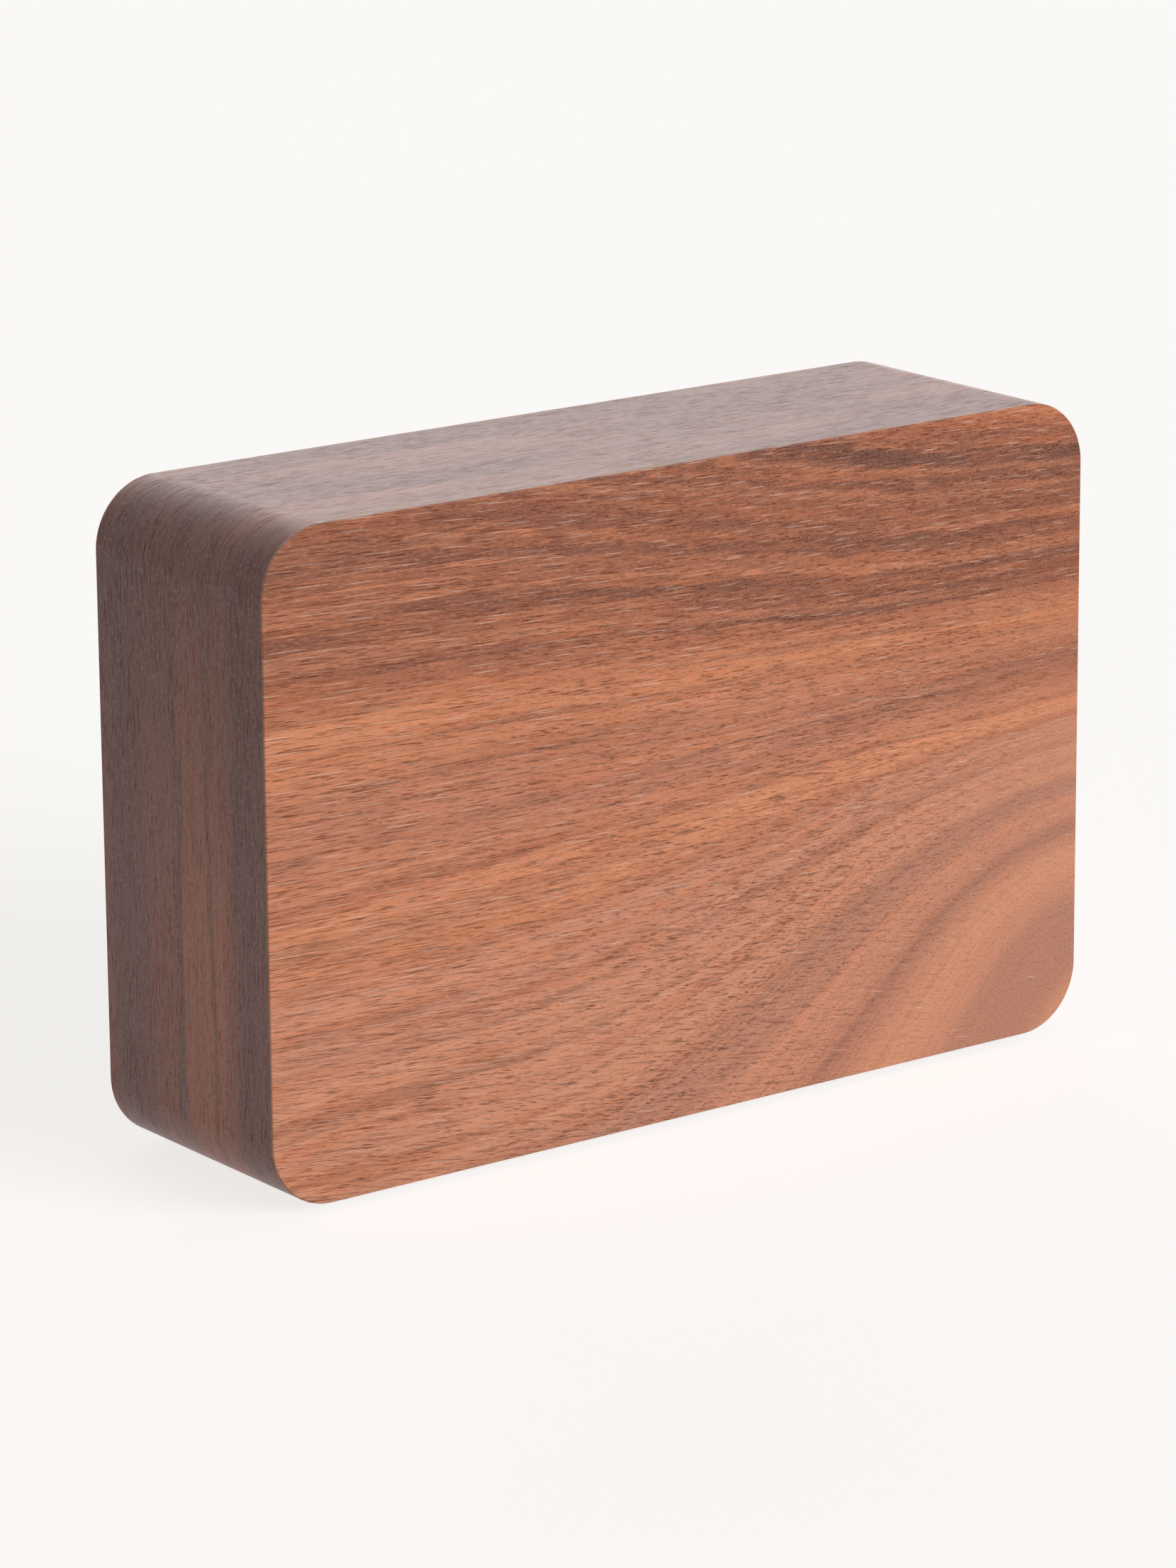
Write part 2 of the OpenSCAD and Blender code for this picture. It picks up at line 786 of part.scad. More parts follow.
module battery_cell(i) {
    way = cell_way[i - 1];
    color("steelblue") translate([way * (bay_w / 2 - contact_t - seat_gap), y_cell, cell_z[i - 1]])
        rotate([0, -90 * way, 0]) {
            cylinder(h = nub_l, r = nub_r);
            translate([0, 0, nub_l]) cylinder(h = cell_l - nub_l, d = cell_d);
        }
}

function spring_points(x0, way, z) =
    [for (k = [0:spring_turns * spring_rings])
        let (t = k / (spring_turns * spring_rings), a = 360 * k / spring_rings,
             r = spring_wide_r + (spring_narrow_r - spring_wide_r) * t,
             end_gap = wire_r + seat_gap)
        [x0 + way * (end_gap + (spring_l - 2 * end_gap) * t), y_cell + r * cos(a), z + r * sin(a)]];

// Least clear distance between two turns of a spring, from its points
spring_line = spring_points(0, 1, 0);
spring_self_gap = min([for (i = [0:len(spring_line) - 1], j = [0:len(spring_line) - 1])
    if (j - i >= spring_rings * 0.75) norm(spring_line[j] - spring_line[i])]) - 2 * wire_r;
echo(spring_self_gap = spring_self_gap);

module battery_springs() {
    color("silver") for (i = [0:cells - 1]) {
        x0 = -cell_way[i] * (bay_w / 2 - contact_t);
        tube(spring_points(x0, cell_way[i], cell_z[i]), wire_r, spring_sides, [1, 0, 0]);
    }
}

module contact_plate(s, first, last) {
    x0 = s < 0 ? -bay_w / 2 : bay_w / 2 - contact_t;
    side = min(contact_side, cell_d - 1);
    translate([x0, y_cell - side / 2, cell_z[first] - side / 2])
        cube([contact_t, side, cell_z[last] - cell_z[first] + side]);
}

module battery_contacts() {
    color("silver") {
        contact_plate(-1, 0, 0);
        contact_plate(1, 0, 1);
        contact_plate(-1, 1, 2);
        contact_plate(1, 2, 2);
    }
}

module battery_leads() {
    for (s = [-1, 1]) {
        start = [s * (bay_w / 2 + seat_gap), y_cell, cell_z[s < 0 ? 0 : 2]];
        end = [s * lead_x, y_control_back - seat_gap, z_control - lead_drop];
        points = bezier(start, start + [s * lead_bow, 0, 0], end - [0, lead_bow, 0], end, lead_rings);
        color(s < 0 ? "black" : "firebrick") tube(points, lead_r, lead_sides, [0, 0, 1]);
    }
}

module battery_door() {
    top = door_h / 2;
    color("#2a2a2a") {
        difference() {
            union() {
                slab(y_cover - door_t, y_cover)
                    translate([-door_w / 2, hinge_z]) square([door_w, z_bay + top - hinge_z]);
                slab(y_cover - latch_tab_t, y_cover)
                    translate([0, z_bay + top]) square([latch_tab_w, 2 * latch_tab], center = true);
                translate([0, hinge_y, hinge_z]) rotate([0, 90, 0])
                    cylinder(h = door_w, d = door_t, center = true);
                translate([0, hinge_y, hinge_z]) rotate([0, 90, 0])
                    cylinder(h = door_w + 2 * hinge_pin_l, r = hinge_pin_r, center = true);
            }
            // Cuts that leave the latch on a springy tongue
            slab(y_cover - door_t - over, y_cover + over)
                for (s = [-1, 1])
                    translate([s * (latch_w - latch_cut) / 2, z_bay + top])
                        square([latch_cut, 2 * latch_l], center = true);
            // Grooves that a fingertip grips
            slab(y_cover - grip_line_depth, y_cover + over)
                for (k = [0:grip_lines - 1])
                    translate([0, z_bay + top - k * grip_line_pitch])
                        square([latch_tab_w - 2 * latch_cut, grip_line_w], center = true);
        }
    }
}

case_band();
band_veneer();
front_veneer();
rear_rim_veneer();
front_board();
for (i = [1:4]) digit_frame(i);
colon_frame();
diffuser_films();
display_board();
segment_leds();
driver_chips();
display_socket();
display_screws();
back_cover();
back_screws();
for (i = [1:4]) corner_block(i);
control_board();
control_screws();
for (i = [0:2]) button(i);
for (i = [0:2]) plunger(i);
for (i = [0:2]) push_switch(i);
sound_switch();
sound_knob();
usb_shell();
usb_tongue();
buzzer();
microphone();
clock_chip();
crystal();
capacitor();
control_socket();
ribbon_cable();
for (i = [1:cells]) battery_cell(i);
battery_springs();
battery_contacts();
battery_leads();
battery_door();
for (i = [1:4]) foot(i);
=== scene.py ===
"""Looks of a walnut-veneered digital alarm clock: finishes, eased veneers, a plain stage and a camera."""

import math
from collections import namedtuple

import bmesh
import bpy
from bpy.props import FloatProperty, FloatVectorProperty, IntProperty, PointerProperty
from mathutils import Matrix, Vector


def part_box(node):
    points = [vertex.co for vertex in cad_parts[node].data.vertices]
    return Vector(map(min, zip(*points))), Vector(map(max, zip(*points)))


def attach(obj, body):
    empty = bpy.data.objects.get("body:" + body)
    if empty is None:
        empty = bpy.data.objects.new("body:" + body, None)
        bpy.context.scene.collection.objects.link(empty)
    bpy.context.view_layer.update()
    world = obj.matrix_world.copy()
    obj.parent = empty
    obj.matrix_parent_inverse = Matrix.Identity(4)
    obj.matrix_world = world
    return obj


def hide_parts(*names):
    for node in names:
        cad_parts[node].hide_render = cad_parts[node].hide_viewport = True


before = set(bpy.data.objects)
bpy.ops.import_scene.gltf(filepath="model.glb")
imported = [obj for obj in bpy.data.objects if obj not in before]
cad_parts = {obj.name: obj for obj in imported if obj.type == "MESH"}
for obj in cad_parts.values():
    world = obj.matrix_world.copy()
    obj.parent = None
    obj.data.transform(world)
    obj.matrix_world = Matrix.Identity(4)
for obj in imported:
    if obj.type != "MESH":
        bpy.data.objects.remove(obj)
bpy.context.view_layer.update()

bl_info = {
    "name": "Walnut alarm clock",
    "version": (1, 0, 0),
    "blender": (4, 5, 0),
    "location": "View3D > Sidebar > Clock",
    "description": "Dresses a block-shaped digital alarm clock in walnut veneer and moulded plastic",
    "category": "Object",
}

MM = 0.001

# Sizes that follow the frame
FRONT_LOW, FRONT_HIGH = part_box("front_veneer")
BAND_LOW, BAND_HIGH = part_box("band_veneer")
RIM_LOW, RIM_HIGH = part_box("rear_rim_veneer")
COVER_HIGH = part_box("back_cover")[1]
HALF_W = FRONT_HIGH.x
HALF_H = (FRONT_HIGH.z - FRONT_LOW.z) / 2
Z_MID = (FRONT_HIGH.z + FRONT_LOW.z) / 2
VENEER_T = FRONT_HIGH.y - FRONT_LOW.y
RIM_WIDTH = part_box("case_band")[1].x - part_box("front_board")[1].x + VENEER_T
# Depth of the sunk well that holds the controls
WELL_DEPTH = 1.0 * MM
# Size of a raised sign's face, as a share of its foot's
SIGN_TAPER = 0.94
# Corners of the dot among the signs, and its radius as a share of an arrowhead's reach
DOT_CORNERS = 24
DOT_SHARE = 0.8
# Two places closer than this are one
NEAR = 0.001 * MM

# Tones of the front's growth bands, by their distance in millimetres from the line that the fan pinches to
FRONT_BANDS = [
    (-225, "peach"), (-206, "dust"), (-166, "dust"), (-152, "rose"), (-139, "sand"), (-126, "sand"),
    (-120, "rose"), (-109, "dust"), (-96, "rose"), (-88, "rose"), (-79, "dust"), (-73, "dust"),
    (-63, "peach"), (-55, "rose"), (-46, "peach"), (-39, "rose"), (-24, "rose"), (-20, "chestnut"),
    (-11, "honey"), (-2, "chestnut"), (12, "cocoa"), (38, "copper"), (47, "hazel"), (55, "russet"),
    (62, "umber"), (68, "hazel"), (74, "umber"), (86, "russet"), (98, "umber"), (109, "russet"),
    (124, "ember"),
]
# Dark growth lines on the front: distance from that line, breadth and start in millimetres, depth of tone
FRONT_LINES = [(50, 4, -30, 0.6), (105, 5, -40, 0.9), (17, 16, 20, 0.34), (-109, 15, 0, 0.15)]
# Length in millimetres over which such a line fades in
LINE_FADE = 60
# Tones of the wrapped veneer's growth bands, by their distance in millimetres from its rear edge
WRAP_BANDS = [
    (0, "fawn"), (3, "plum"), (14, "plum"), (21, "fawn"), (28, "fawn"), (30, "plum"), (32, "blush"),
    (40, "blush"), (42, "dust"), (44, "blush"), (50, "fawn"), (54, "plum"), (65, "plum"),
]

# Streaks, veins and specks of the veneer: length along the grain and width across it, in metres
GRAIN = (0.110, 0.0013)
PATCH = (0.070, 0.0044)
CLUSTER = (0.055, 0.0012)
LAYER = (0.300, 0.0042)
VEIN = (0.0130, 0.00075)
FINE_SPECK = (0.0014, 0.0003)
COARSE_SPECK = (0.0011, 0.0008)
# Slant of the pores' rows, the full middle of a pore as a share of its reach, and its faintest depth
PORE_SLANT = 0.39
PORE_CORE = 0.35
PORE_FAINTEST = 0.35
# Wanderings of the growth bands: length along the grain and width across it, in metres
FRONT_SWEEP = (0.070, 0.022)
FRONT_FEATHER = (0.034, 0.0010)
WRAP_SWEEP = (0.080, 0.030)
WRAP_FEATHER = (0.030, 0.0010)
WRAP_DRIFT = (0.090, 0.022)

# Fineness of the other finishes, in marks to the metre
CLOUDING = 60.0
BRUSHING = 4000.0
DULL_PATCHES = 300.0
BOARD_FIBRES = 900.0
COPPER_RUNS = 260.0
GLASS_WEAVE = 2600.0
SLEEVE_SCUFFS = 900.0
LEAD_SCUFFS = 700.0
FLOOR_MOTTLE = 3.0

# A veneer's figure: the colour of its growth bands, where its streaks lie along and across the grain
# (length and flow), where its pores do (along and across), how streaky and how porous it is, the share of
# pale filled pores, how speckled it is, the tone of its pale specks, and how strong the painted highlight
# on its edge is, or None
Figure = namedtuple("Figure", "colour length flow along across streaky porous filled speckle pale sanded")


def linear(red, green, blue):
    """A colour in scene-linear light from its three display values of 0 to 255."""
    def channel(value):
        value /= 255
        return value / 12.92 if value <= 0.04045 else ((value + 0.055) / 1.055) ** 2.4
    return channel(red), channel(green), channel(blue)


def tone_setting(name, description, *display):
    """A colour that a user may change, from its three display values of 0 to 255."""
    return FloatVectorProperty(
        name=name, description=description, subtype="COLOR", default=linear(*display))


def length_setting(name, description, default):
    """A length in metres that a user may change."""
    return FloatProperty(name=name, description=description, unit="LENGTH", default=default)


def share_setting(name, description, default):
    """A share from 0 to 1 that a user may change."""
    return FloatProperty(name=name, description=description, subtype="FACTOR", default=default)


def angle_setting(name, description, degrees):
    """An angle that a user may change, from its degrees."""
    return FloatProperty(name=name, description=description, subtype="ANGLE", default=math.radians(degrees))


class ClockWalnut(bpy.types.PropertyGroup):
    """Tones and figure of the walnut veneer."""

    dusk: tone_setting("Dusk", "Darkest streaks", 112, 67, 47)
    umber: tone_setting("Umber", "Dark growth lines", 126, 67, 42)
    russet: tone_setting("Russet", "Dark bands", 142, 77, 48)
    hazel: tone_setting("Hazel", "Paler lines in the dark bands", 168, 98, 65)
    cocoa: tone_setting("Cocoa", "Greyer bands", 188, 120, 90)
    chestnut: tone_setting("Chestnut", "Middle bands", 202, 128, 92)
    copper: tone_setting("Copper", "Warm bands", 213, 133, 90)
    honey: tone_setting("Honey", "Palest bands", 230, 150, 107)
    dust: tone_setting("Dust", "Dusky bands low on the front", 186, 128, 104)
    rose: tone_setting("Rose", "Middle bands low on the front", 208, 141, 110)
    peach: tone_setting("Peach", "Pale bands low on the front", 214, 147, 113)
    sand: tone_setting("Sand", "Palest bands low on the front", 217, 150, 113)
    plum: tone_setting("Plum", "Greyer wood of the sides", 172, 121, 117)
    # Painted shade and sheen: the wrapped veneer is blended to this darker, greyer tone up the sides and on
    # top
    shade_and_sheen_tone: tone_setting("Mauve", "Greyer wood on top", 138, 93, 88)
    fawn: tone_setting("Fawn", "Middle wood of the sides", 211, 142, 126)
    blush: tone_setting("Blush", "Red streaks of the sides", 251, 168, 143)
    ember: tone_setting("Ember", "Patches with an orange glow", 194, 110, 66)
    pore: tone_setting("Pore", "Open dark pores", 78, 31, 17)
    # This pale pore tone is also the tone of the painted highlight on the front's eased edge
    filled_pore_and_highlight: tone_setting("Filled pore", "Pores filled with pale lacquer", 222, 184, 164)
    pinch_height: length_setting("Pinch height", "Height of the line that the grain closes in on", 0.0769)
    pinch_tilt: FloatProperty(name="Pinch tilt", description="Slope of that line", default=0.067)
    pinch_above: share_setting("Pinch above", "How much the bands above the line close in", 0.47)
    pinch_below: share_setting("Pinch below", "How much the bands below the line close in", 0.686)
    above_from: length_setting("Above from", "Where the upper bands start to close in", -0.124)
    above_to: length_setting("Above to", "Where the upper bands have closed in", 0.132)
    below_from: length_setting("Below from", "Where the lower bands start to close in", -0.073)
    below_to: length_setting("Below to", "Where the lower bands have closed in", 0.0998)
    below_lag: FloatProperty(
        name="Below lag", default=0.426,
        description="How much later each lower band closes in, by its depth below the line")
    pore_length: length_setting("Pore length", "Length of a pore along the grain", 0.0080)
    pore_width: length_setting("Pore width", "Width of a pore across the grain", 0.00034)
    lacquer_roughness: share_setting("Lacquer roughness", "Roughness of the satin lacquer", 0.42)


class ClockFinish(bpy.types.PropertyGroup):
    """Colours of the pieces that aren't veneered, and the easing of the edges."""

    edge_ease: length_setting("Edge ease", "Radius of the sanded veneer edges", 0.0004)
    corner_steps: IntProperty(
        name="Corner steps", description="Facets in a rounded corner", default=32, min=8)
    moulding_ease: length_setting("Moulding ease", "Rounding of the moulded edges", 0.00018)
    cover: tone_setting("Cover", "Moulded back cover and battery door", 40, 40, 41)
    button: tone_setting("Button", "Push buttons", 52, 52, 53)
    knob: tone_setting("Knob", "Sliding switch's knob", 205, 204, 199)
    mark: tone_setting("Mark", "Raised signs beside the controls", 204, 204, 200)
    fibreboard: tone_setting("Fibreboard", "Raw fibreboard", 176, 142, 104)
    rubber: tone_setting("Rubber", "Feet", 58, 57, 56)
    steel: tone_setting("Steel", "Plated steel", 200, 199, 196)
    solder_mask: tone_setting("Solder mask", "Circuit boards", 28, 92, 54)
    sleeve: tone_setting("Sleeve", "Printed sleeve of a cell", 46, 88, 122)


class ClockStage(bpy.types.PropertyGroup):
    """Camera, lamps and floor."""

    lens: FloatProperty(name="Lens", description="Focal length in millimetres", default=142.92)
    sensor: FloatProperty(
        name="Sensor", description="Longer side of the sensor in millimetres", default=36.0)
    camera_place: FloatVectorProperty(
        name="Camera place", description="Where the camera stands", subtype="TRANSLATION", unit="LENGTH",
        default=(-0.8269, -1.0982, 0.4441))
    camera_azimuth: angle_setting("Camera azimuth", "Turn to the right of straight ahead", 36.82)
    camera_drop: angle_setting("Camera drop", "Angle that the camera looks down by", 15.12)
    camera_roll: angle_setting("Camera roll", "Clockwise roll of the camera", 0.42)
    floor: tone_setting("Floor", "Floor and surroundings", 250, 248, 246)
    floor_reach: length_setting("Floor reach", "How far the floor runs to each side", 8.0)
    floor_depth: share_setting("Floor depth", "How much of the lamps' light the floor gives back", 0.45)
    floor_glow: share_setting("Floor glow", "How bright the floor is to the eye of itself", 0.826)
    floor_gap: length_setting("Floor gap", "Clearance of the floor under the feet", 0.0002)
    key: FloatProperty(name="Key", description="Strength of the main lamp", default=3.42)
    key_from: FloatVectorProperty(
        name="Key from", description="Direction that the main lamp shines from",
        subtype="DIRECTION", default=(0.40, -0.90, 0.17))
    key_spread: angle_setting("Key spread", "How wide the main lamp looks", 50.0)
    fill: FloatProperty(name="Fill", description="Strength of the lamp behind the clock", default=1.0)
    fill_from: FloatVectorProperty(
        name="Fill from", description="Direction that the lamp behind the clock shines from",
        subtype="DIRECTION", default=(0.45, 0.88, 0.15))
    fill_spread: angle_setting("Fill spread", "How wide the lamp behind the clock looks", 60.0)
    sky: share_setting("Sky", "Light from all round", 0.13)


def walnut_props():
    """The walnut settings of this scene."""
    return bpy.context.scene.clock_walnut


def finish_props():
    """The finish settings of this scene."""
    return bpy.context.scene.clock_finish


def stage_props():
    """The stage settings of this scene."""
    return bpy.context.scene.clock_stage


class Finish:
    """A material's node tree with short ways to add and link its nodes."""

    def __init__(self, name):
        self.material = bpy.data.materials.new(name)
        self.material.use_nodes = True
        self.tree = self.material.node_tree
        self.shader = self.tree.nodes["Principled BSDF"]

    def node(self, kind, **settings):
        """Adds a node of that kind and sets its settings."""
        node = self.tree.nodes.new(kind)
        for name, value in settings.items():
            setattr(node, name, value)
        return node

    def feed(self, socket, value):
        """Links an output to a socket, or sets the socket's own value."""
        if isinstance(value, bpy.types.NodeSocket):
            self.tree.links.new(value, socket)
        elif isinstance(value, (tuple, list)) or hasattr(value, "r"):
            value = tuple(value)
            socket.default_value = value + (1.0,) * (len(socket.default_value) - len(value))
        else:
            socket.default_value = value

    def feed_all(self, node, *values):
        """Feeds a node's sockets in their order and returns its first output."""
        for socket, value in zip(node.inputs, values):
            self.feed(socket, value)
        return node.outputs[0]

    def math(self, operation, *numbers):
        """One sum on numbers."""
        return self.feed_all(self.node("ShaderNodeMath", operation=operation), *numbers)

    def step(self, value, low, high, to_low=0.0, to_high=1.0, smooth=True):
        """A ramp of a number from one range to another, held at both ends."""
        kind = "SMOOTHSTEP" if smooth else "LINEAR"
        node = self.node("ShaderNodeMapRange", interpolation_type=kind)
        return self.feed_all(node, value, low, high, to_low, to_high)

    def between(self, value, low, high):
        """1 between two levels of a number, and 0 outside."""
        over = self.math("GREATER_THAN", value, low)
        return self.math("MULTIPLY", over, self.math("LESS_THAN", value, high))

    def swing(self, noise, reach):
        """A noise of 0 to 1 as a swing to both sides."""
        return self.math("MULTIPLY", self.math("SUBTRACT", noise, 0.5), reach)

    def blend(self, factor, first, second):
        """A mix of two colours."""
        node = self.node("ShaderNodeMix", data_type="RGBA")
        self.feed(node.inputs[0], factor)
        self.feed(node.inputs[6], first)
        self.feed(node.inputs[7], second)
        return node.outputs[2]

    def choose(self, factor, first, second):
        """A mix of two numbers."""
        node = self.node("ShaderNodeMix", data_type="FLOAT")
        self.feed(node.inputs[0], factor)
        self.feed(node.inputs[2], first)
        self.feed(node.inputs[3], second)
        return node.outputs[0]

    def wash(self, colour, tone, value, none, full, most, share=1.0):
        """A colour washed with a tone: none at one level of a number, a share of the most at another."""
        if isinstance(share, bpy.types.NodeSocket):
            amount = self.math("MULTIPLY", self.step(value, none, full, 0.0, most), share)
        else:
            amount = self.step(value, none, full, 0.0, most * share)
        return self.blend(amount, colour, tone)

    def spot(self, scale=None):
        """The point's place in the clock's frame, drawn out by a scale along each axis if one is given."""
        place = self.node("ShaderNodeTexCoord").outputs["Object"]
        if scale is None:
            return place
        return self.feed_all(self.node("ShaderNodeVectorMath", operation="MULTIPLY"), place, scale)

    def parts(self, vector):
        """A vector's three numbers."""
        node = self.node("ShaderNodeSeparateXYZ")
        self.feed(node.inputs[0], vector)
        return node.outputs

    def place(self):
        """The point's place in the clock's frame, as three numbers."""
        return self.parts(self.spot())

    def attribute(self, name):
        """A vector stored on the mesh, as three numbers."""
        return self.parts(self.node("ShaderNodeAttribute", attribute_name=name).outputs["Vector"])

    def vector(self, x, y, z):
        """A vector from three numbers."""
        return self.feed_all(self.node("ShaderNodeCombineXYZ"), x, y, z)

    def noise(self, vector, scale=1.0, detail=2.0, roughness=0.5):
        """Fractal noise, from 0 to 1."""
        node = self.node("ShaderNodeTexNoise")
        self.feed(node.inputs["Vector"], vector)
        self.feed(node.inputs["Scale"], scale)
        self.feed(node.inputs["Detail"], detail)
        self.feed(node.inputs["Roughness"], roughness)
        return node.outputs["Fac"]

    def streaks(self, along, across, size, seed, detail=2.0, roughness=0.5):
        """Noise drawn out along the grain, in streaks of a length and a width."""
        length, width = size
        spot = self.vector(self.math("DIVIDE", along, length), self.math("DIVIDE", across, width), seed)
        return self.noise(spot, 1.0, detail, roughness)

    def dashes(self, along, across, length, width, reach, share, seed):
        """Dashes along the grain in a share of their cells: 1 in the middle of a dash, 0 outside."""
        cells = self.node("ShaderNodeTexVoronoi", voronoi_dimensions="2D")
        rows = self.math("MULTIPLY_ADD", across, 1.0 / width, seed)
        columns = self.math("MULTIPLY_ADD", rows, PORE_SLANT, self.math("DIVIDE", along, length))
        self.feed(cells.inputs["Vector"], self.vector(columns, rows, 0.0))
        self.feed(cells.inputs["Scale"], 1.0)
        lot = self.node("ShaderNodeSeparateColor")
        self.feed(lot.inputs[0], cells.outputs["Color"])
        inside = self.step(cells.outputs["Distance"], reach, reach * PORE_CORE)
        held = self.math("LESS_THAN", lot.outputs[0], share)
        depth = self.step(lot.outputs[1], 0.0, 1.0, PORE_FAINTEST, 1.0, smooth=False)
        return self.math("MULTIPLY", self.math("MULTIPLY", inside, held), depth)

    def bands(self, distance, stops, tones):
        """Colours of growth bands along a distance in millimetres."""
        node = self.node("ShaderNodeValToRGB")
        start, end = stops[0][0], stops[-1][0]
        self.feed(node.inputs[0], self.step(distance, start, end, smooth=False))
        ramp = node.color_ramp
        ramp.interpolation = "EASE"
        while len(ramp.elements) < len(stops):
            ramp.elements.new(1.0)
        for element, (stop, tone) in zip(ramp.elements, stops):
            element.position = (stop - start) / (end - start)
            element.color = (*getattr(tones, tone), 1.0)
        return node.outputs[0]

    def bump(self, height, strength, distance):
        """Relief from a height of 0 to 1."""
        node = self.node("ShaderNodeBump")
        self.feed(node.inputs["Strength"], strength)
        self.feed(node.inputs["Distance"], distance)
        self.feed(node.inputs["Height"], height)
        self.feed(self.shader.inputs["Normal"], node.outputs[0])

    def close(self, colour, roughness, metal=0.0, specular=0.5):
        """Feeds the shader and returns the material."""
        self.feed(self.shader.inputs["Base Color"], colour)
        self.feed(self.shader.inputs["Roughness"], roughness)
        self.feed(self.shader.inputs["Metallic"], metal)
        self.feed(self.shader.inputs["Specular IOR Level"], specular)
        return self.material


# Materials

def veneer(name, figured, glow=1.0, specular=0.4, relief=0.25, speck=FINE_SPECK):
    """A walnut veneer: growth bands, streaks, dark pores, pale filled pores, specks, a painted highlight on
    an eased edge where the figure has one, and a satin lacquer.
    """
    props = walnut_props()
    finish = Finish(name)
    figure = figured(finish, props)
    along, across, porous = figure.along, figure.across, figure.porous
    grain = finish.streaks(figure.length, figure.flow, GRAIN, 2.0, 4.0, 0.66)
    cluster = finish.streaks(figure.length, figure.flow, CLUSTER, 9.0, 3.0, 0.6)
    vein = finish.streaks(along, across, VEIN, 13.0)
    specks = finish.streaks(along, across, speck, 1.0, 1.0)
    dark = open_pores(finish, props, figure, grain, cluster)
    depth = finish.math("MULTIPLY", finish.step(cluster, 0.40, 0.66, 0.56, 0.88), porous)
    length, width = props.pore_length * 2.7, props.pore_width * 1.8
    pale = finish.dashes(along, across, length, width, 0.22, figure.filled, 23.9)

    colour = streaked(finish, props, figure, grain, glow)
    colour = finish.wash(colour, props.dusk, vein, 0.52, 0.74, 0.62, porous)
    colour = finish.wash(colour, props.copper, vein, 0.48, 0.26, 0.34, porous)
    colour = finish.wash(colour, props.dusk, cluster, 0.46, 0.72, 0.18, porous)
    colour = finish.blend(finish.math("MULTIPLY", dark, depth), colour, props.pore)
    colour = finish.blend(finish.math("MULTIPLY", pale, 0.85), colour, props.filled_pore_and_highlight)
    colour = finish.wash(colour, props.dusk, specks, 0.50, 0.75, 0.28, figure.speckle)
    colour = finish.wash(colour, figure.pale, specks, 0.50, 0.25, 0.34, figure.speckle)
    # Painted highlight: a pale rim blended over the front's eased edge
    if figure.sanded is not None:
        colour = finish.blend(figure.sanded, colour, props.filled_pore_and_highlight)

    finish.bump(finish.math("SUBTRACT", finish.math("MULTIPLY", grain, 0.4), dark), relief, 0.06 * MM)
    rough = finish.step(dark, 0.0, 1.0, props.lacquer_roughness, props.lacquer_roughness + 0.14)
    return finish.close(colour, rough, specular=finish.step(dark, 0.0, 1.0, specular, 0.1))


def streaked(finish, props, figure, grain, glow):
    """A figure's colour with glowing patches, dark and pale fibres, and long layers."""
    patch = finish.streaks(figure.length, figure.flow, PATCH, 6.0, 4.0, 0.65)
    layer = finish.streaks(figure.length, figure.flow, LAYER, 15.0)
    colour = finish.wash(figure.colour, props.ember, patch, 0.46, 0.64, 0.60 * glow, figure.streaky)
    colour = finish.wash(colour, props.dusk, grain, 0.48, 0.72, 0.44, figure.streaky)
    colour = finish.wash(colour, props.honey, grain, 0.48, 0.28, 0.60 * glow, figure.streaky)
    colour = finish.wash(colour, props.dusk, layer, 0.50, 0.68, 0.34, figure.porous)
    return finish.wash(colour, props.honey, layer, 0.50, 0.32, 0.34, figure.porous)


def open_pores(finish, props, figure, grain, cluster):
    """Long and short open pores on ragged lines, crowded in clusters and in the darker bands."""
    length, width = props.pore_length, props.pore_width
    shade = finish.step(figure.colour, 0.30, 0.12)
    crowd = finish.step(cluster, 0.36, 0.60, 0.26, 0.95)
    share = finish.math("MULTIPLY", crowd, finish.step(shade, 0.0, 1.0, 0.8, 1.2))
    across = finish.math("ADD", finish.swing(grain, width * 2.0), figure.across)
    long_pores = finish.dashes(figure.along, across, length * 1.8, width * 1.7, 0.32, share, 3.7)
    short_pores = finish.dashes(figure.along, across, length * 0.66, width * 1.35, 0.36, share, 11.3)
    return finish.math("MAXIMUM", long_pores, short_pores)


def growth_lines(finish, distance, along, colour, tone):
    """Dark lines among the growth bands, which fade in along the grain."""
    for place, breadth, start, depth in FRONT_LINES:
        off = finish.math("ABSOLUTE", finish.math("SUBTRACT", distance, place))
        near = finish.step(off, breadth, 0.0, 0.0, depth)
        shown = finish.step(along, start * MM, (start + LINE_FADE) * MM)
        colour = finish.blend(finish.math("MULTIPLY", near, shown), colour, tone)
    return colour


def fan_flow(finish, props, x, z, wave):
    """Distance from the line that the fan pinches to, as it is where the fan is open."""
    line = finish.math("MULTIPLY_ADD", x, props.pinch_tilt, props.pinch_height)
    rise = finish.math("ADD", finish.math("SUBTRACT", z, line), wave)
    above = finish.step(x, props.above_from, props.above_to, 1.0, 1.0 - props.pinch_above)
    late = finish.math("MULTIPLY_ADD", finish.math("MINIMUM", rise, 0.0), props.below_lag, x)
    below = finish.step(late, props.below_from, props.below_to, 1.0, 1.0 - props.pinch_below)
    return finish.math("DIVIDE", rise, finish.choose(finish.math("GREATER_THAN", rise, 0.0), below, above))


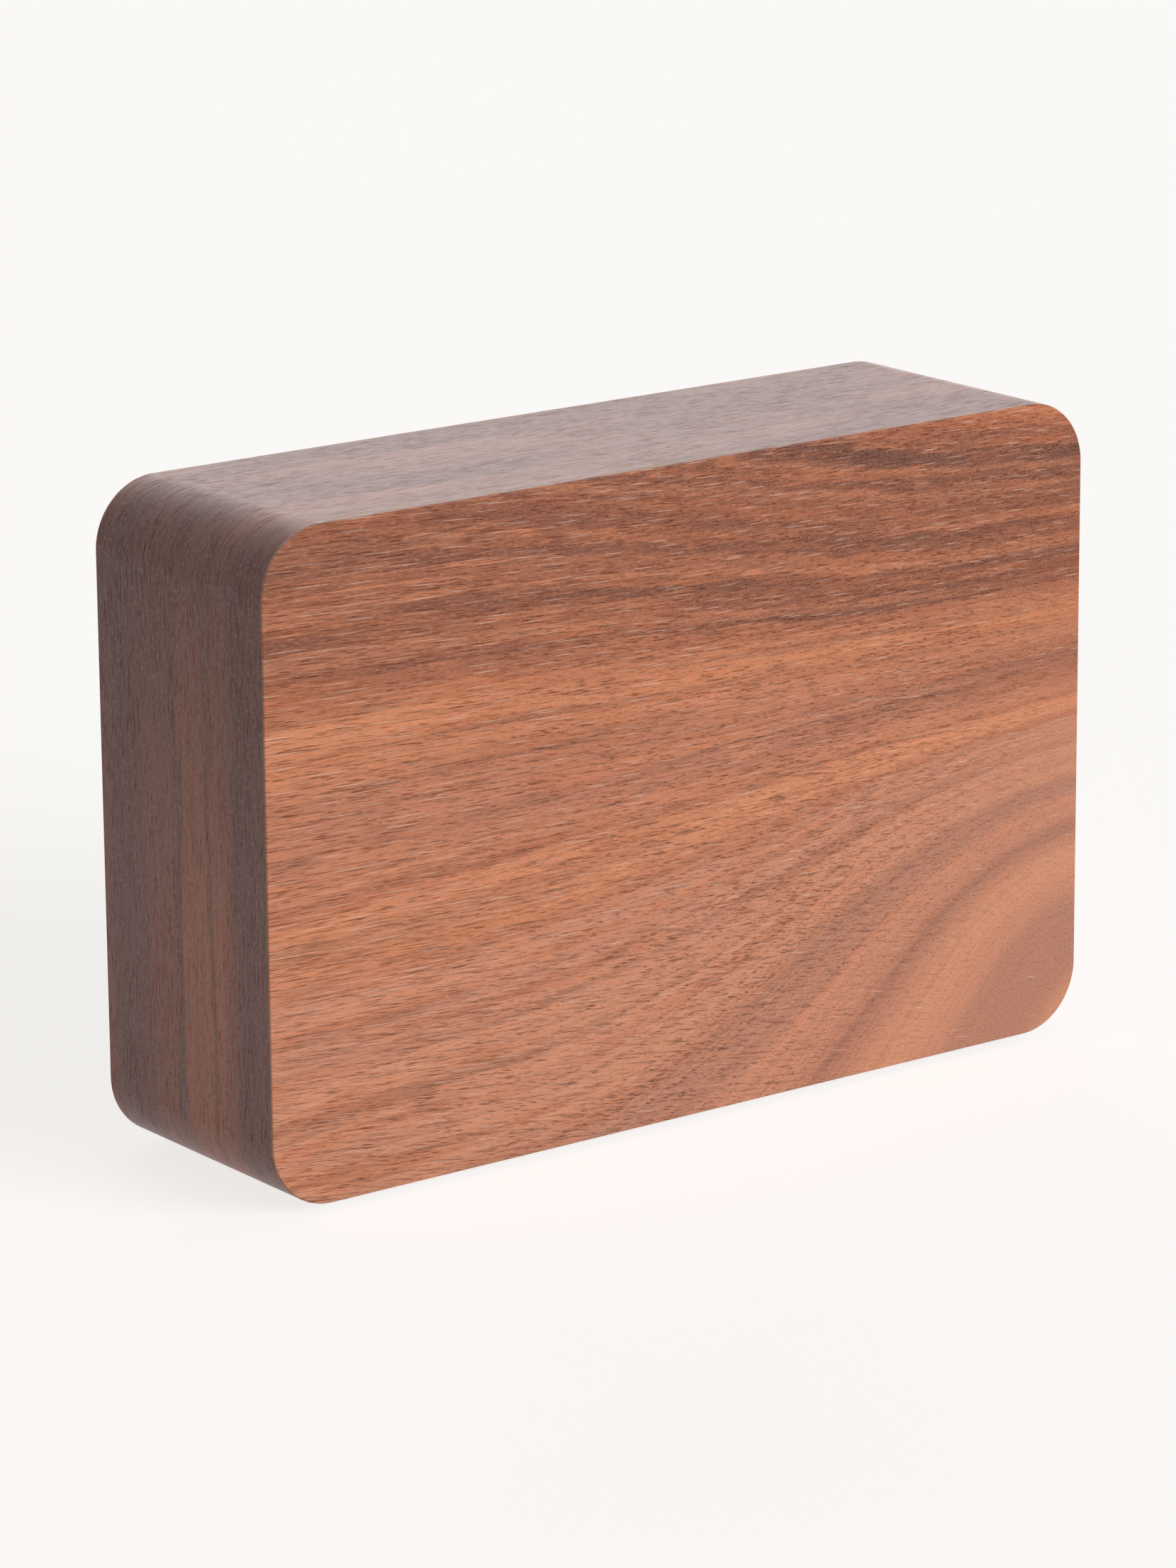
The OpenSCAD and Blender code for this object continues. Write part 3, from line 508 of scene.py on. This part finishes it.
def front_figure(finish, props):
    """The front's fan: feathered bands that close in towards the right on a sloping line."""
    x, y, z = finish.place()
    # Streaks, pores and pale pores fade towards the lower right
    streaky = finish.step(finish.math("MULTIPLY_ADD", x, -0.6, z), -0.060, 0.090, 0.15, 1.0)
    porous = finish.step(finish.math("MULTIPLY_ADD", x, -1.5, z), -0.130, 0.010, 0.12, 1.0)
    filled = finish.step(streaky, 0.3, 1.0, 0.03, 0.40, smooth=False)
    sweep = finish.swing(finish.streaks(x, z, FRONT_SWEEP, 0.0, 3.0), 4 * MM)
    reach = finish.math("MULTIPLY", streaky, 5 * MM)
    feather = finish.swing(finish.streaks(x, z, FRONT_FEATHER, 5.0), reach)
    flow = fan_flow(finish, props, x, z, finish.math("ADD", sweep, feather))
    distance = finish.math("DIVIDE", flow, MM)
    colour = growth_lines(finish, distance, x, finish.bands(distance, FRONT_BANDS, props), props.pore)
    # The pores lean a little high on the left and more near the foot, and shorten towards the right
    lean = finish.math("MULTIPLY", finish.math("MINIMUM", x, 0.0), finish.step(z, 0.055, 0.115, 0.0, 0.03))
    low_lean = finish.math("MULTIPLY", x, finish.step(z, 0.075, 0.010, 0.0, 0.11))
    across = finish.math("ADD", z, finish.math("ADD", lean, low_lean))
    run = finish.math("ADD", x, HALF_W)
    along = finish.math("MULTIPLY", run, finish.math("MULTIPLY_ADD", run, 3.0, 0.65))
    # Painted highlight: the eased front edge is paled up to half way towards the pale pore tone
    sanded = finish.step(y, FRONT_LOW.y + 0.05 * MM, FRONT_LOW.y + 0.25 * MM, 0.0, 0.5)
    return Figure(
        colour=colour, length=x, flow=flow, along=along, across=across, streaky=streaky, porous=porous,
        filled=filled, speckle=1.0, pale=props.sand, sanded=sanded)


def wrap_figure(finish, props):
    """The band's figure: bands that wander along its run, with painted shade that darkens them up the
    sides, and painted sheen that greys them and fades them out on top.
    """
    run, depth, _ = finish.attribute("unrolled")
    height = finish.place()[2]
    top = BAND_HIGH.z
    sweep = finish.swing(finish.streaks(run, depth, WRAP_SWEEP, 4.0, 3.0), 12 * MM)
    feather = finish.swing(finish.streaks(run, depth, WRAP_FEATHER, 5.0), 5 * MM)
    wave = finish.math("ADD", sweep, feather)
    distance = finish.math("DIVIDE", finish.math("ADD", depth, wave), MM)
    colour = finish.bands(distance, WRAP_BANDS, props)
    # Painted shade: from 60 to 140 mm up, the sides are blended ever more towards a darker, greyer tone
    colour = finish.blend(finish.step(height, 0.060, 0.140, 0.0, 0.80, smooth=False), colour, props.shade_and_sheen_tone)
    # Painted sheen and shade: the top's last 8 mm turn to a plain, darker grey tone with paler patches
    drift = finish.streaks(run, depth, WRAP_DRIFT, 8.0)
    upper = finish.wash(props.shade_and_sheen_tone, props.fawn, drift, 0.40, 0.62, 0.6)
    colour = finish.wash(colour, upper, height, top - 8 * MM, top, 0.8)
    porous = finish.step(height, top - 3 * MM, top, 0.32, 0.65)
    speckle = finish.step(height, top - 10 * MM, top, 1.5, 0.4)
    return Figure(
        colour=colour, length=run, flow=depth, along=run, across=depth, streaky=0.4, porous=porous,
        filled=0.083, speckle=speckle, pale=props.filled_pore_and_highlight, sanded=None)


def rim_figure(finish, props):
    """The rear rim's figure: the band's tones, lying level and folded back where they end."""
    x, _, z = finish.place()
    folded = finish.math("PINGPONG", finish.math("ADD", z, 11 * MM), 60 * MM)
    colour = finish.bands(finish.math("DIVIDE", folded, MM), WRAP_BANDS, props)
    return Figure(
        colour=colour, length=x, flow=z, along=x, across=z, streaky=0.8, porous=0.75,
        filled=0.294, speckle=1.0, pale=props.sand, sanded=None)


def moulded(name, colour, roughness=0.5, grain=0.0005, relief=0.35):
    """A moulded plastic with a fine sparked grain and faint clouding."""
    finish = Finish(name)
    grains = finish.noise(finish.spot(), 1.0 / grain, 2.0, 0.6)
    cloud = finish.noise(finish.spot(), CLOUDING, 3.0, 0.5)
    paler = tuple(c * 1.35 + 0.004 for c in colour)
    tone = finish.wash(colour, paler, cloud, 0.3, 0.7, 0.22)
    finish.bump(grains, relief, grain * 0.12)
    return finish.close(tone, finish.step(grains, 0.3, 0.7, roughness - 0.06, roughness + 0.08))


def plated(name, colour, roughness=0.28, brush=(1.0, 1.0, 1.0)):
    """A plated metal with fine brushing and dull patches."""
    finish = Finish(name)
    lines = finish.noise(finish.spot(tuple(BRUSHING * b for b in brush)), 1.0, 2.0, 0.6)
    patch = finish.noise(finish.spot(), DULL_PATCHES, 3.0, 0.6)
    duller = tuple(c * 0.72 for c in colour)
    tone = finish.wash(colour, duller, patch, 0.35, 0.7, 0.35)
    finish.bump(lines, 0.12, 0.02 * MM)
    return finish.close(tone, finish.step(patch, 0.3, 0.7, roughness - 0.05, roughness + 0.12), metal=1.0)


def fibred(name, colour, stretch=(1.0, 1.0, 1.0), dark=0.6):
    """Raw board or sawn wood: short fibres, drawn out along the stretch."""
    finish = Finish(name)
    fibres = finish.noise(finish.spot(tuple(BOARD_FIBRES * s for s in stretch)), 1.0, 4.0, 0.65)
    darker = tuple(c * dark for c in colour)
    tone = finish.wash(colour, darker, fibres, 0.35, 0.7, 1.0)
    finish.bump(fibres, 0.3, 0.08 * MM)
    return finish.close(tone, 0.85, specular=0.3)


def masked_board(name, colour):
    """A circuit board: solder mask with paler copper runs under it and a fine weave."""
    finish = Finish(name)
    x, y, z = finish.place()
    lanes = finish.node("ShaderNodeTexBrick", offset=0.37, squash=1.0)
    finish.feed(lanes.inputs["Vector"], finish.vector(x, z, y))
    finish.feed(lanes.inputs["Scale"], COPPER_RUNS)
    finish.feed(lanes.inputs["Mortar Size"], 0.06)
    weave = finish.noise(finish.spot(), GLASS_WEAVE, 2.0, 0.5)
    paler = tuple(c * 1.7 + 0.01 for c in colour)
    darker = tuple(c * 0.7 for c in colour)
    tone = finish.blend(finish.math("MULTIPLY", lanes.outputs["Fac"], 0.8), colour, paler)
    tone = finish.wash(tone, darker, weave, 0.4, 0.7, 0.3)
    finish.bump(lanes.outputs["Fac"], 0.2, 0.03 * MM)
    return finish.close(tone, finish.step(weave, 0.3, 0.7, 0.26, 0.38))


def sleeved_cell(name, colour, flat, nub):
    """A cell from its flat end to its nub: a printed sleeve with a pale band, between bright metal ends."""
    finish = Finish(name)
    run = finish.step(finish.place()[0], flat, nub, smooth=False)
    inside = finish.between(run, 0.03, 0.97)
    scuff = finish.noise(finish.spot(), SLEEVE_SCUFFS, 4.0, 0.65)
    sleeve = finish.blend(finish.between(run, 0.30, 0.36), colour, linear(196, 190, 172))
    sleeve = finish.wash(sleeve, linear(120, 130, 138), scuff, 0.55, 0.75, 0.3)
    tone = finish.blend(inside, finish_props().steel, sleeve)
    finish.bump(scuff, 0.08, 0.03 * MM)
    return finish.close(
        tone, finish.step(scuff, 0.3, 0.7, 0.26, 0.4), metal=finish.math("SUBTRACT", 1.0, inside))


def paired_leads(name):
    """Wire sleeves: red on one side of the clock and black on the other."""
    finish = Finish(name)
    side = finish.math("GREATER_THAN", finish.place()[0], 0.0)
    scuff = finish.noise(finish.spot(), LEAD_SCUFFS, 3.0, 0.6)
    tone = finish.blend(side, linear(32, 32, 33), linear(158, 34, 30))
    tone = finish.wash(tone, linear(120, 90, 86), scuff, 0.5, 0.8, 0.25)
    return finish.close(tone, finish.step(scuff, 0.3, 0.7, 0.35, 0.5))


# Meshes

def rounded_outline(half_w, half_h, radius, steps, gap=0.0):
    """Points of a rounded rectangle, anticlockwise from the middle of its bottom edge, less a gap there."""
    points = [Vector((gap / 2, -half_h))]
    for corner in range(4):
        middle = Vector((half_w - radius, half_h - radius))
        middle.x *= 1 if corner in (0, 1) else -1
        middle.y *= 1 if corner in (1, 2) else -1
        for step in range(steps + 1):
            turn = math.radians(90) * (corner - 1 + step / steps)
            points.append(middle + radius * Vector((math.cos(turn), math.sin(turn))))
    points.append(Vector((-gap / 2, -half_h)))
    return points


def quarter_round(radius, steps=3):
    """Steps of a quarter round, as pairs of its inset and its setback."""
    turns = [math.radians(90) * k / steps for k in range(steps + 1)]
    return [(radius * (1 - math.cos(t)), radius * (1 - math.sin(t))) for t in turns]


def outline_radius():
    """Outer radius of the case's corners, read off the front veneer."""
    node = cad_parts["front_veneer"]
    level = [v.co.x for v in node.data.vertices if abs(v.co.z - FRONT_HIGH.z) < NEAR]
    return HALF_W - max(level)


def loft(mesh, rings, closed=True, looped=False):
    """Joins rings of points by quads, the last to the first too if looped, and returns their vertices."""
    made = [[mesh.verts.new(point) for point in ring] for ring in rings]
    for first, second in zip(made, made[1:] + (made[:1] if looped else [])):
        count = len(first)
        for k in range(count if closed else count - 1):
            n = (k + 1) % count
            mesh.faces.new((first[k], first[n], second[n], second[k]))
    return made


def finish_mesh(name, mesh, material):
    """Makes a smooth-shaded object of a mesh, with its flat faces kept flat."""
    bmesh.ops.recalc_face_normals(mesh, faces=mesh.faces)
    for face in mesh.faces:
        face.smooth = True
    data = bpy.data.meshes.new(name)
    mesh.to_mesh(data)
    mesh.free()
    data.materials.append(material)
    piece = bpy.data.objects.new(name, data)
    bpy.context.scene.collection.objects.link(piece)
    even_normals(piece)
    return piece


def even_normals(piece):
    """Weights a piece's shading by the area of its faces."""
    weight = piece.modifiers.new("even_normals", "WEIGHTED_NORMAL")
    weight.keep_sharp = True
    weight.weight = 80


def standing(points, y):
    """Points of an outline set upright at a depth in the clock's frame."""
    return [Vector((p.x, y, p.y + Z_MID)) for p in points]


def ring_outline(inset, steps, gap=0.0):
    """The case's outline, drawn in by an inset."""
    radius = outline_radius()
    return rounded_outline(HALF_W - inset, HALF_H - inset, max(radius - inset, MM), steps, gap)


def front_sheet(ease, steps):
    """The front veneer with an eased front edge."""
    mesh = bmesh.new()
    rings = [standing(ring_outline(inset, steps)[:-1], FRONT_LOW.y + setback)
             for inset, setback in reversed(quarter_round(ease))]
    rings.append(standing(ring_outline(0.0, steps)[:-1], FRONT_HIGH.y))
    made = loft(mesh, rings)
    mesh.faces.new(made[0])
    mesh.faces.new(made[-1])
    return mesh


def wrap_sheet(steps, seam):
    """The band of veneer round the case, open at the seam under it."""
    mesh = bmesh.new()
    outer = ring_outline(0.0, steps, seam)
    inner = ring_outline(VENEER_T, steps, seam)
    rings = [standing(inner, BAND_LOW.y), standing(outer, BAND_LOW.y), standing(outer, BAND_HIGH.y),
             standing(inner, BAND_HIGH.y)]
    made = loft(mesh, rings, closed=False, looped=True)
    for end in (0, -1):
        mesh.faces.new([ring[end] for ring in made])
    return mesh


def store_unrolled(piece, steps, seam):
    """Stores each point's run round the case and its distance from the band's rear edge on the mesh."""
    outline = ring_outline(0.0, steps, seam)
    runs = [0.0]
    for first, second in zip(outline, outline[1:]):
        runs.append(runs[-1] + (second - first).length)
    layer = piece.data.attributes.new("unrolled", "FLOAT_VECTOR", "POINT")
    for vertex in piece.data.vertices:
        flat = Vector((vertex.co.x, vertex.co.z - Z_MID))
        nearest = min(range(len(outline)), key=lambda k: (outline[k] - flat).length)
        layer.data[vertex.index].vector = (runs[nearest], BAND_HIGH.y - vertex.co.y, 0.0)


def rim_sheet(ease, steps):
    """The veneer on the rear rim, with eased outer and inner edges."""
    mesh = bmesh.new()
    easing = quarter_round(ease)
    outer = [standing(ring_outline(inset, steps)[:-1], RIM_HIGH.y - setback) for inset, setback in easing]
    inner = [standing(ring_outline(RIM_WIDTH - inset, steps)[:-1], RIM_HIGH.y - setback)
             for inset, setback in reversed(easing)]
    start = [standing(ring_outline(0.0, steps)[:-1], RIM_LOW.y)]
    end = [standing(ring_outline(RIM_WIDTH, steps)[:-1], RIM_LOW.y)]
    loft(mesh, start + outer + inner + end, looped=True)
    return mesh


def paint(material, *nodes):
    """Gives CAD nodes a material."""
    for name in nodes:
        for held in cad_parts[name].material_slots:
            held.material = material


def ease_edges(width, *nodes):
    """Rounds the crisp edges of moulded CAD nodes for the eye."""
    for name in nodes:
        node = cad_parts[name]
        bevel = node.modifiers.new("ease", "BEVEL")
        bevel.width = width
        bevel.segments = 2
        bevel.limit_method = "ANGLE"
        bevel.angle_limit = math.radians(40)
        bevel.harden_normals = True


def regular_outline(corners, radius, start):
    """Points of a regular outline round the origin, from the angle of its first corner."""
    turns = [start + math.tau * k / corners for k in range(corners)]
    return [radius * Vector((math.cos(t), math.sin(t))) for t in turns]


def sign_plate(name, outline, foot, height, material):
    """A small raised sign, from its outline as seen from behind and the place that its foot stands on."""
    mesh = bmesh.new()
    low = [foot + Vector((-p.x, 0.0, p.y)) for p in outline]
    high = [foot + Vector((-p.x * SIGN_TAPER, height, p.y * SIGN_TAPER)) for p in outline]
    made = loft(mesh, [low, high])
    mesh.faces.new(made[0])
    mesh.faces.new(made[-1])
    return finish_mesh(name, mesh, material)


class ClockOperator:
    """What all the clock's operators share."""

    bl_options = {"REGISTER", "UNDO"}


class CLOCK_OT_front(ClockOperator, bpy.types.Operator):
    """Make the front veneer with its fan-shaped walnut figure"""

    bl_idname = "clock.front"
    bl_label = "Front veneer"

    def execute(self, context):
        finish = finish_props()
        mesh = front_sheet(finish.edge_ease, finish.corner_steps)
        piece = finish_mesh("front_sheet", mesh, veneer("walnut_front", front_figure))
        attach(piece, "case")
        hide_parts("front_veneer")
        return {"FINISHED"}


class CLOCK_OT_wrap(ClockOperator, bpy.types.Operator):
    """Make the veneer that wraps the top, sides and bottom, and the veneer on the rear rim"""

    bl_idname = "clock.wrap"
    bl_label = "Wrapped veneer"

    seam: length_setting("Seam", "Gap of the seam under the case", 0.0002)

    def execute(self, context):
        finish = finish_props()
        steps = finish.corner_steps
        wood = veneer("walnut_wrap", wrap_figure, glow=0.4, specular=0.44, relief=0.3, speck=COARSE_SPECK)
        wrap = finish_mesh("wrap_sheet", wrap_sheet(steps, self.seam), wood)
        store_unrolled(wrap, steps, self.seam)
        rim = finish_mesh("rim_sheet", rim_sheet(finish.edge_ease, steps), veneer("walnut_rim", rim_figure))
        for piece, node in ((wrap, "band_veneer"), (rim, "rear_rim_veneer")):
            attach(piece, "case")
            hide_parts(node)
        return {"FINISHED"}


class CLOCK_OT_core(ClockOperator, bpy.types.Operator):
    """Finish the fibreboard case, its front board, its corner blocks and the feet"""

    bl_idname = "clock.core"
    bl_label = "Case and feet"

    def execute(self, context):
        finish = finish_props()
        paint(fibred("raw_fibreboard", finish.fibreboard), "case_band", "front_board")
        blocks = [f"corner_block_{k}" for k in range(1, 5)]
        paint(fibred("sawn_softwood", linear(204, 168, 118), (1.0, 0.05, 1.0), 0.75), *blocks)
        feet = [f"foot_{k}" for k in range(1, 5)]
        paint(moulded("foot_rubber", finish.rubber, 0.75, 0.0008, 0.5), *feet)
        ease_edges(finish.moulding_ease, *feet)
        return {"FINISHED"}


class CLOCK_OT_display(ClockOperator, bpy.types.Operator):
    """Finish the display behind the front: frames, films, board, lamps and chips"""

    bl_idname = "clock.display"
    bl_label = "Display"

    def execute(self, context):
        finish = finish_props()
        frames = [f"digit_frame_{k}" for k in range(1, 5)] + ["colon_frame"]
        paint(moulded("frame_abs", finish.cover, 0.6), *frames)
        paint(moulded("diffuser_film", linear(232, 231, 226), 0.55, 0.0003, 0.15), "diffuser_films")
        paint(masked_board("display_mask", finish.solder_mask), "display_board")
        paint(moulded("lamp_resin", linear(240, 226, 170), 0.25, 0.0002, 0.1), "segment_leds")
        paint(moulded("driver_epoxy", linear(30, 30, 31), 0.6, 0.0002, 0.3), "driver_chips")
        paint(moulded("socket_nylon", linear(226, 219, 198), 0.5), "display_socket")
        paint(plated("display_zinc", finish.steel, 0.3), "display_screws")
        return {"FINISHED"}


class CLOCK_OT_back(ClockOperator, bpy.types.Operator):
    """Finish the moulded back cover, its screws, the battery door and the raised signs"""

    bl_idname = "clock.back"
    bl_label = "Back cover"

    sign_size: length_setting("Sign size", "Reach of an arrowhead from its middle", 0.0011)
    sign_rise: length_setting("Sign rise", "Height of the signs above the controls' middle", 0.0066)
    sign_height: length_setting("Sign height", "How far the signs stand out", 0.0002)

    def execute(self, context):
        finish = finish_props()
        paint(moulded("cover_abs", finish.cover, 0.52, 0.0006, 0.5), "back_cover", "battery_door")
        ease_edges(finish.moulding_ease, "back_cover", "battery_door")
        paint(plated("black_oxide", linear(58, 58, 60), 0.42), "back_screws")
        material = moulded("sign_paint", finish.mark, 0.55)
        signs = (
            ("sign_set", regular_outline(DOT_CORNERS, self.sign_size * DOT_SHARE, 0.0), "set_button"),
            ("sign_up", regular_outline(3, self.sign_size, math.radians(90)), "up_button"),
            ("sign_down", regular_outline(3, self.sign_size, math.radians(-90)), "down_button"),
        )
        for name, outline, node in signs:
            low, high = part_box(node)
            middle = (low + high) / 2
            foot = Vector((middle.x, COVER_HIGH.y - WELL_DEPTH, middle.z + self.sign_rise))
            sign = sign_plate(name, outline, foot, self.sign_height, material)
            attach(sign, "case")
        return {"FINISHED"}


class CLOCK_OT_controls(ClockOperator, bpy.types.Operator):
    """Finish the buttons, the sound switch, the power inlet and the control board"""

    bl_idname = "clock.controls"
    bl_label = "Controls"

    def execute(self, context):
        finish = finish_props()
        names = ("set", "up", "down")
        buttons = [f"{name}_button" for name in names]
        paint(moulded("button_abs", finish.button, 0.42, 0.0004, 0.3), *buttons)
        ease_edges(finish.moulding_ease, *buttons, "sound_knob")
        paint(moulded("plunger_nylon", linear(36, 36, 36), 0.5), *[f"{name}_plunger" for name in names])
        paint(plated("switch_tin", finish.steel, 0.34), *[f"{name}_switch" for name in names])
        paint(plated("switch_shell", linear(104, 103, 101), 0.45), "sound_switch")
        paint(moulded("knob_abs", finish.knob, 0.45, 0.0004, 0.3), "sound_knob")
        paint(plated("inlet_nickel", finish.steel, 0.22, (1.0, 0.1, 1.0)), "usb_shell")
        paint(moulded("tongue_nylon", linear(34, 34, 35), 0.45), "usb_tongue")
        paint(masked_board("control_mask", finish.solder_mask), "control_board")
        paint(plated("control_zinc", finish.steel, 0.3), "control_screws")
        paint(moulded("buzzer_abs", linear(32, 32, 33), 0.4), "buzzer")
        paint(plated("microphone_can", linear(206, 206, 204), 0.3), "microphone")
        paint(plated("crystal_can", linear(212, 211, 208), 0.18), "crystal")
        paint(moulded("chip_epoxy", linear(30, 30, 31), 0.6, 0.0002, 0.3), "clock_chip")
        paint(moulded("capacitor_sleeve", linear(36, 44, 92), 0.3, 0.0006, 0.1), "capacitor")
        paint(moulded("control_nylon", linear(226, 219, 198), 0.5), "control_socket")
        paint(moulded("ribbon_sleeve", linear(150, 150, 152), 0.45, 0.001, 0.4), "ribbon_cable")
        return {"FINISHED"}


class CLOCK_OT_batteries(ClockOperator, bpy.types.Operator):
    """Finish the cells, their contacts and their leads"""

    bl_idname = "clock.batteries"
    bl_label = "Batteries"

    def execute(self, context):
        finish = finish_props()
        for k in range(1, 4):
            low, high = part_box(f"battery_cell_{k}")
            flat, nub = (high.x, low.x) if k == 2 else (low.x, high.x)
            paint(sleeved_cell(f"cell_sleeve_{k}", finish.sleeve, flat, nub), f"battery_cell_{k}")
        paint(plated("contact_nickel", finish.steel, 0.24), "battery_springs", "battery_contacts")
        paint(paired_leads("lead_sleeves"), "battery_leads")
        return {"FINISHED"}


class CLOCK_OT_stage(ClockOperator, bpy.types.Operator):
    """Make the floor, the lamps, the surroundings and the camera"""

    bl_idname = "clock.stage"
    bl_label = "Stage"

    def execute(self, context):
        stage = stage_props()
        self.floor(stage)
        self.lamp("key_lamp", stage.key, stage.key_from, stage.key_spread)
        self.lamp("fill_lamp", stage.fill, stage.fill_from, stage.fill_spread)
        self.surroundings(stage)
        self.camera(stage)
        context.scene.view_settings.view_transform = "Standard"
        return {"FINISHED"}

    def floor(self, stage):
        """A wide pale floor that glows a little to the eye and keeps the clock's shadow."""
        finish = Finish("pale_floor")
        mottle = finish.noise(finish.spot(), FLOOR_MOTTLE, 2.0, 0.5)
        tone = finish.wash(stage.floor, tuple(c * 0.9 for c in stage.floor), mottle, 0.3, 0.7, 0.02)
        finish.close(tuple(c * stage.floor_depth for c in stage.floor), 0.9, specular=0.0)
        path = finish.node("ShaderNodeLightPath").outputs
        seen = finish.math("MAXIMUM", path["Is Camera Ray"], path["Is Glossy Ray"])
        seen = finish.math("MAXIMUM", seen, path["Is Transmission Ray"])
        glow = finish.math("MULTIPLY", seen, stage.floor_glow)
        finish.feed(finish.shader.inputs["Emission Color"], tone)
        finish.feed(finish.shader.inputs["Emission Strength"], glow)
        mesh = bmesh.new()
        bmesh.ops.create_grid(mesh, x_segments=8, y_segments=8, size=stage.floor_reach)
        bmesh.ops.translate(mesh, verts=mesh.verts, vec=(0.0, 0.0, -stage.floor_gap))
        piece = finish_mesh("floor", mesh, finish.material)

    def lamp(self, name, strength, away, spread):
        """A wide, soft lamp far off in a direction."""
        light = bpy.data.lights.new(name, "SUN")
        light.energy = strength
        light.angle = spread
        lamp = bpy.data.objects.new(name, light)
        lamp.rotation_euler = Vector(away).to_track_quat("Z", "Y").to_euler()
        lamp.location = away
        bpy.context.scene.collection.objects.link(lamp)

    def surroundings(self, stage):
        """Pale surroundings: white to the eye and in reflections, and dimmer as a light."""
        world = bpy.data.worlds.new("surroundings")
        world.use_nodes = True
        bpy.context.scene.world = world
        nodes, links = world.node_tree.nodes, world.node_tree.links
        back = nodes["Background"]
        back.inputs["Color"].default_value = (*stage.floor, 1.0)
        path = nodes.new("ShaderNodeLightPath").outputs
        strength = None
        for ray in ("Is Camera Ray", "Is Glossy Ray", "Is Transmission Ray"):
            pick = nodes.new("ShaderNodeMath")
            pick.operation = "MAXIMUM"
            pick.inputs[0].default_value = stage.sky
            links.new(path[ray], pick.inputs[1])
            if strength is not None:
                links.new(strength, pick.inputs[0])
            strength = pick.outputs[0]
        links.new(strength, back.inputs["Strength"])

    def camera(self, stage):
        """The camera, where the photograph's stood."""
        data = bpy.data.cameras.new("camera")
        data.lens = stage.lens
        data.sensor_width = stage.sensor
        camera = bpy.data.objects.new("camera", data)
        turn = Matrix.Rotation(-stage.camera_azimuth, 4, "Z")
        tip = Matrix.Rotation(math.radians(90) - stage.camera_drop, 4, "X")
        roll = Matrix.Rotation(-stage.camera_roll, 4, "Z")
        camera.matrix_world = Matrix.Translation(stage.camera_place) @ turn @ tip @ roll
        bpy.context.scene.collection.objects.link(camera)
        bpy.context.scene.camera = camera


class CLOCK_PT_panel(bpy.types.Panel):
    """The clock's pieces and finishes"""

    bl_idname = "CLOCK_PT_panel"
    bl_label = "Alarm clock"
    bl_space_type = "VIEW_3D"
    bl_region_type = "UI"
    bl_category = "Clock"

    def draw(self, context):
        for operator in OPERATORS:
            self.layout.operator(operator.bl_idname)
        for group in (walnut_props(), finish_props(), stage_props()):
            box = self.layout.box()
            for name in group.bl_rna.properties.keys():
                if name not in ("rna_type", "name"):
                    box.prop(group, name)


GROUPS = {"clock_walnut": ClockWalnut, "clock_finish": ClockFinish, "clock_stage": ClockStage}
OPERATORS = (
    CLOCK_OT_front, CLOCK_OT_wrap, CLOCK_OT_core, CLOCK_OT_display, CLOCK_OT_back, CLOCK_OT_controls,
    CLOCK_OT_batteries, CLOCK_OT_stage,
)


def register():
    """Registers the clock's settings, operators and panel."""
    for name, group in GROUPS.items():
        bpy.utils.register_class(group)
        setattr(bpy.types.Scene, name, PointerProperty(type=group))
    for operator in OPERATORS:
        bpy.utils.register_class(operator)
    bpy.utils.register_class(CLOCK_PT_panel)


def unregister():
    """Takes them away again."""
    bpy.utils.unregister_class(CLOCK_PT_panel)
    for operator in reversed(OPERATORS):
        bpy.utils.unregister_class(operator)
    for name, group in GROUPS.items():
        delattr(bpy.types.Scene, name)
        bpy.utils.unregister_class(group)


def main():
    """Makes the clock's looks."""
    register()
    bpy.ops.clock.stage()
    bpy.ops.clock.front()
    bpy.ops.clock.wrap()
    bpy.ops.clock.core()
    bpy.ops.clock.display()
    bpy.ops.clock.back()
    bpy.ops.clock.controls()
    bpy.ops.clock.batteries()


if __name__ == "__main__":
    main()
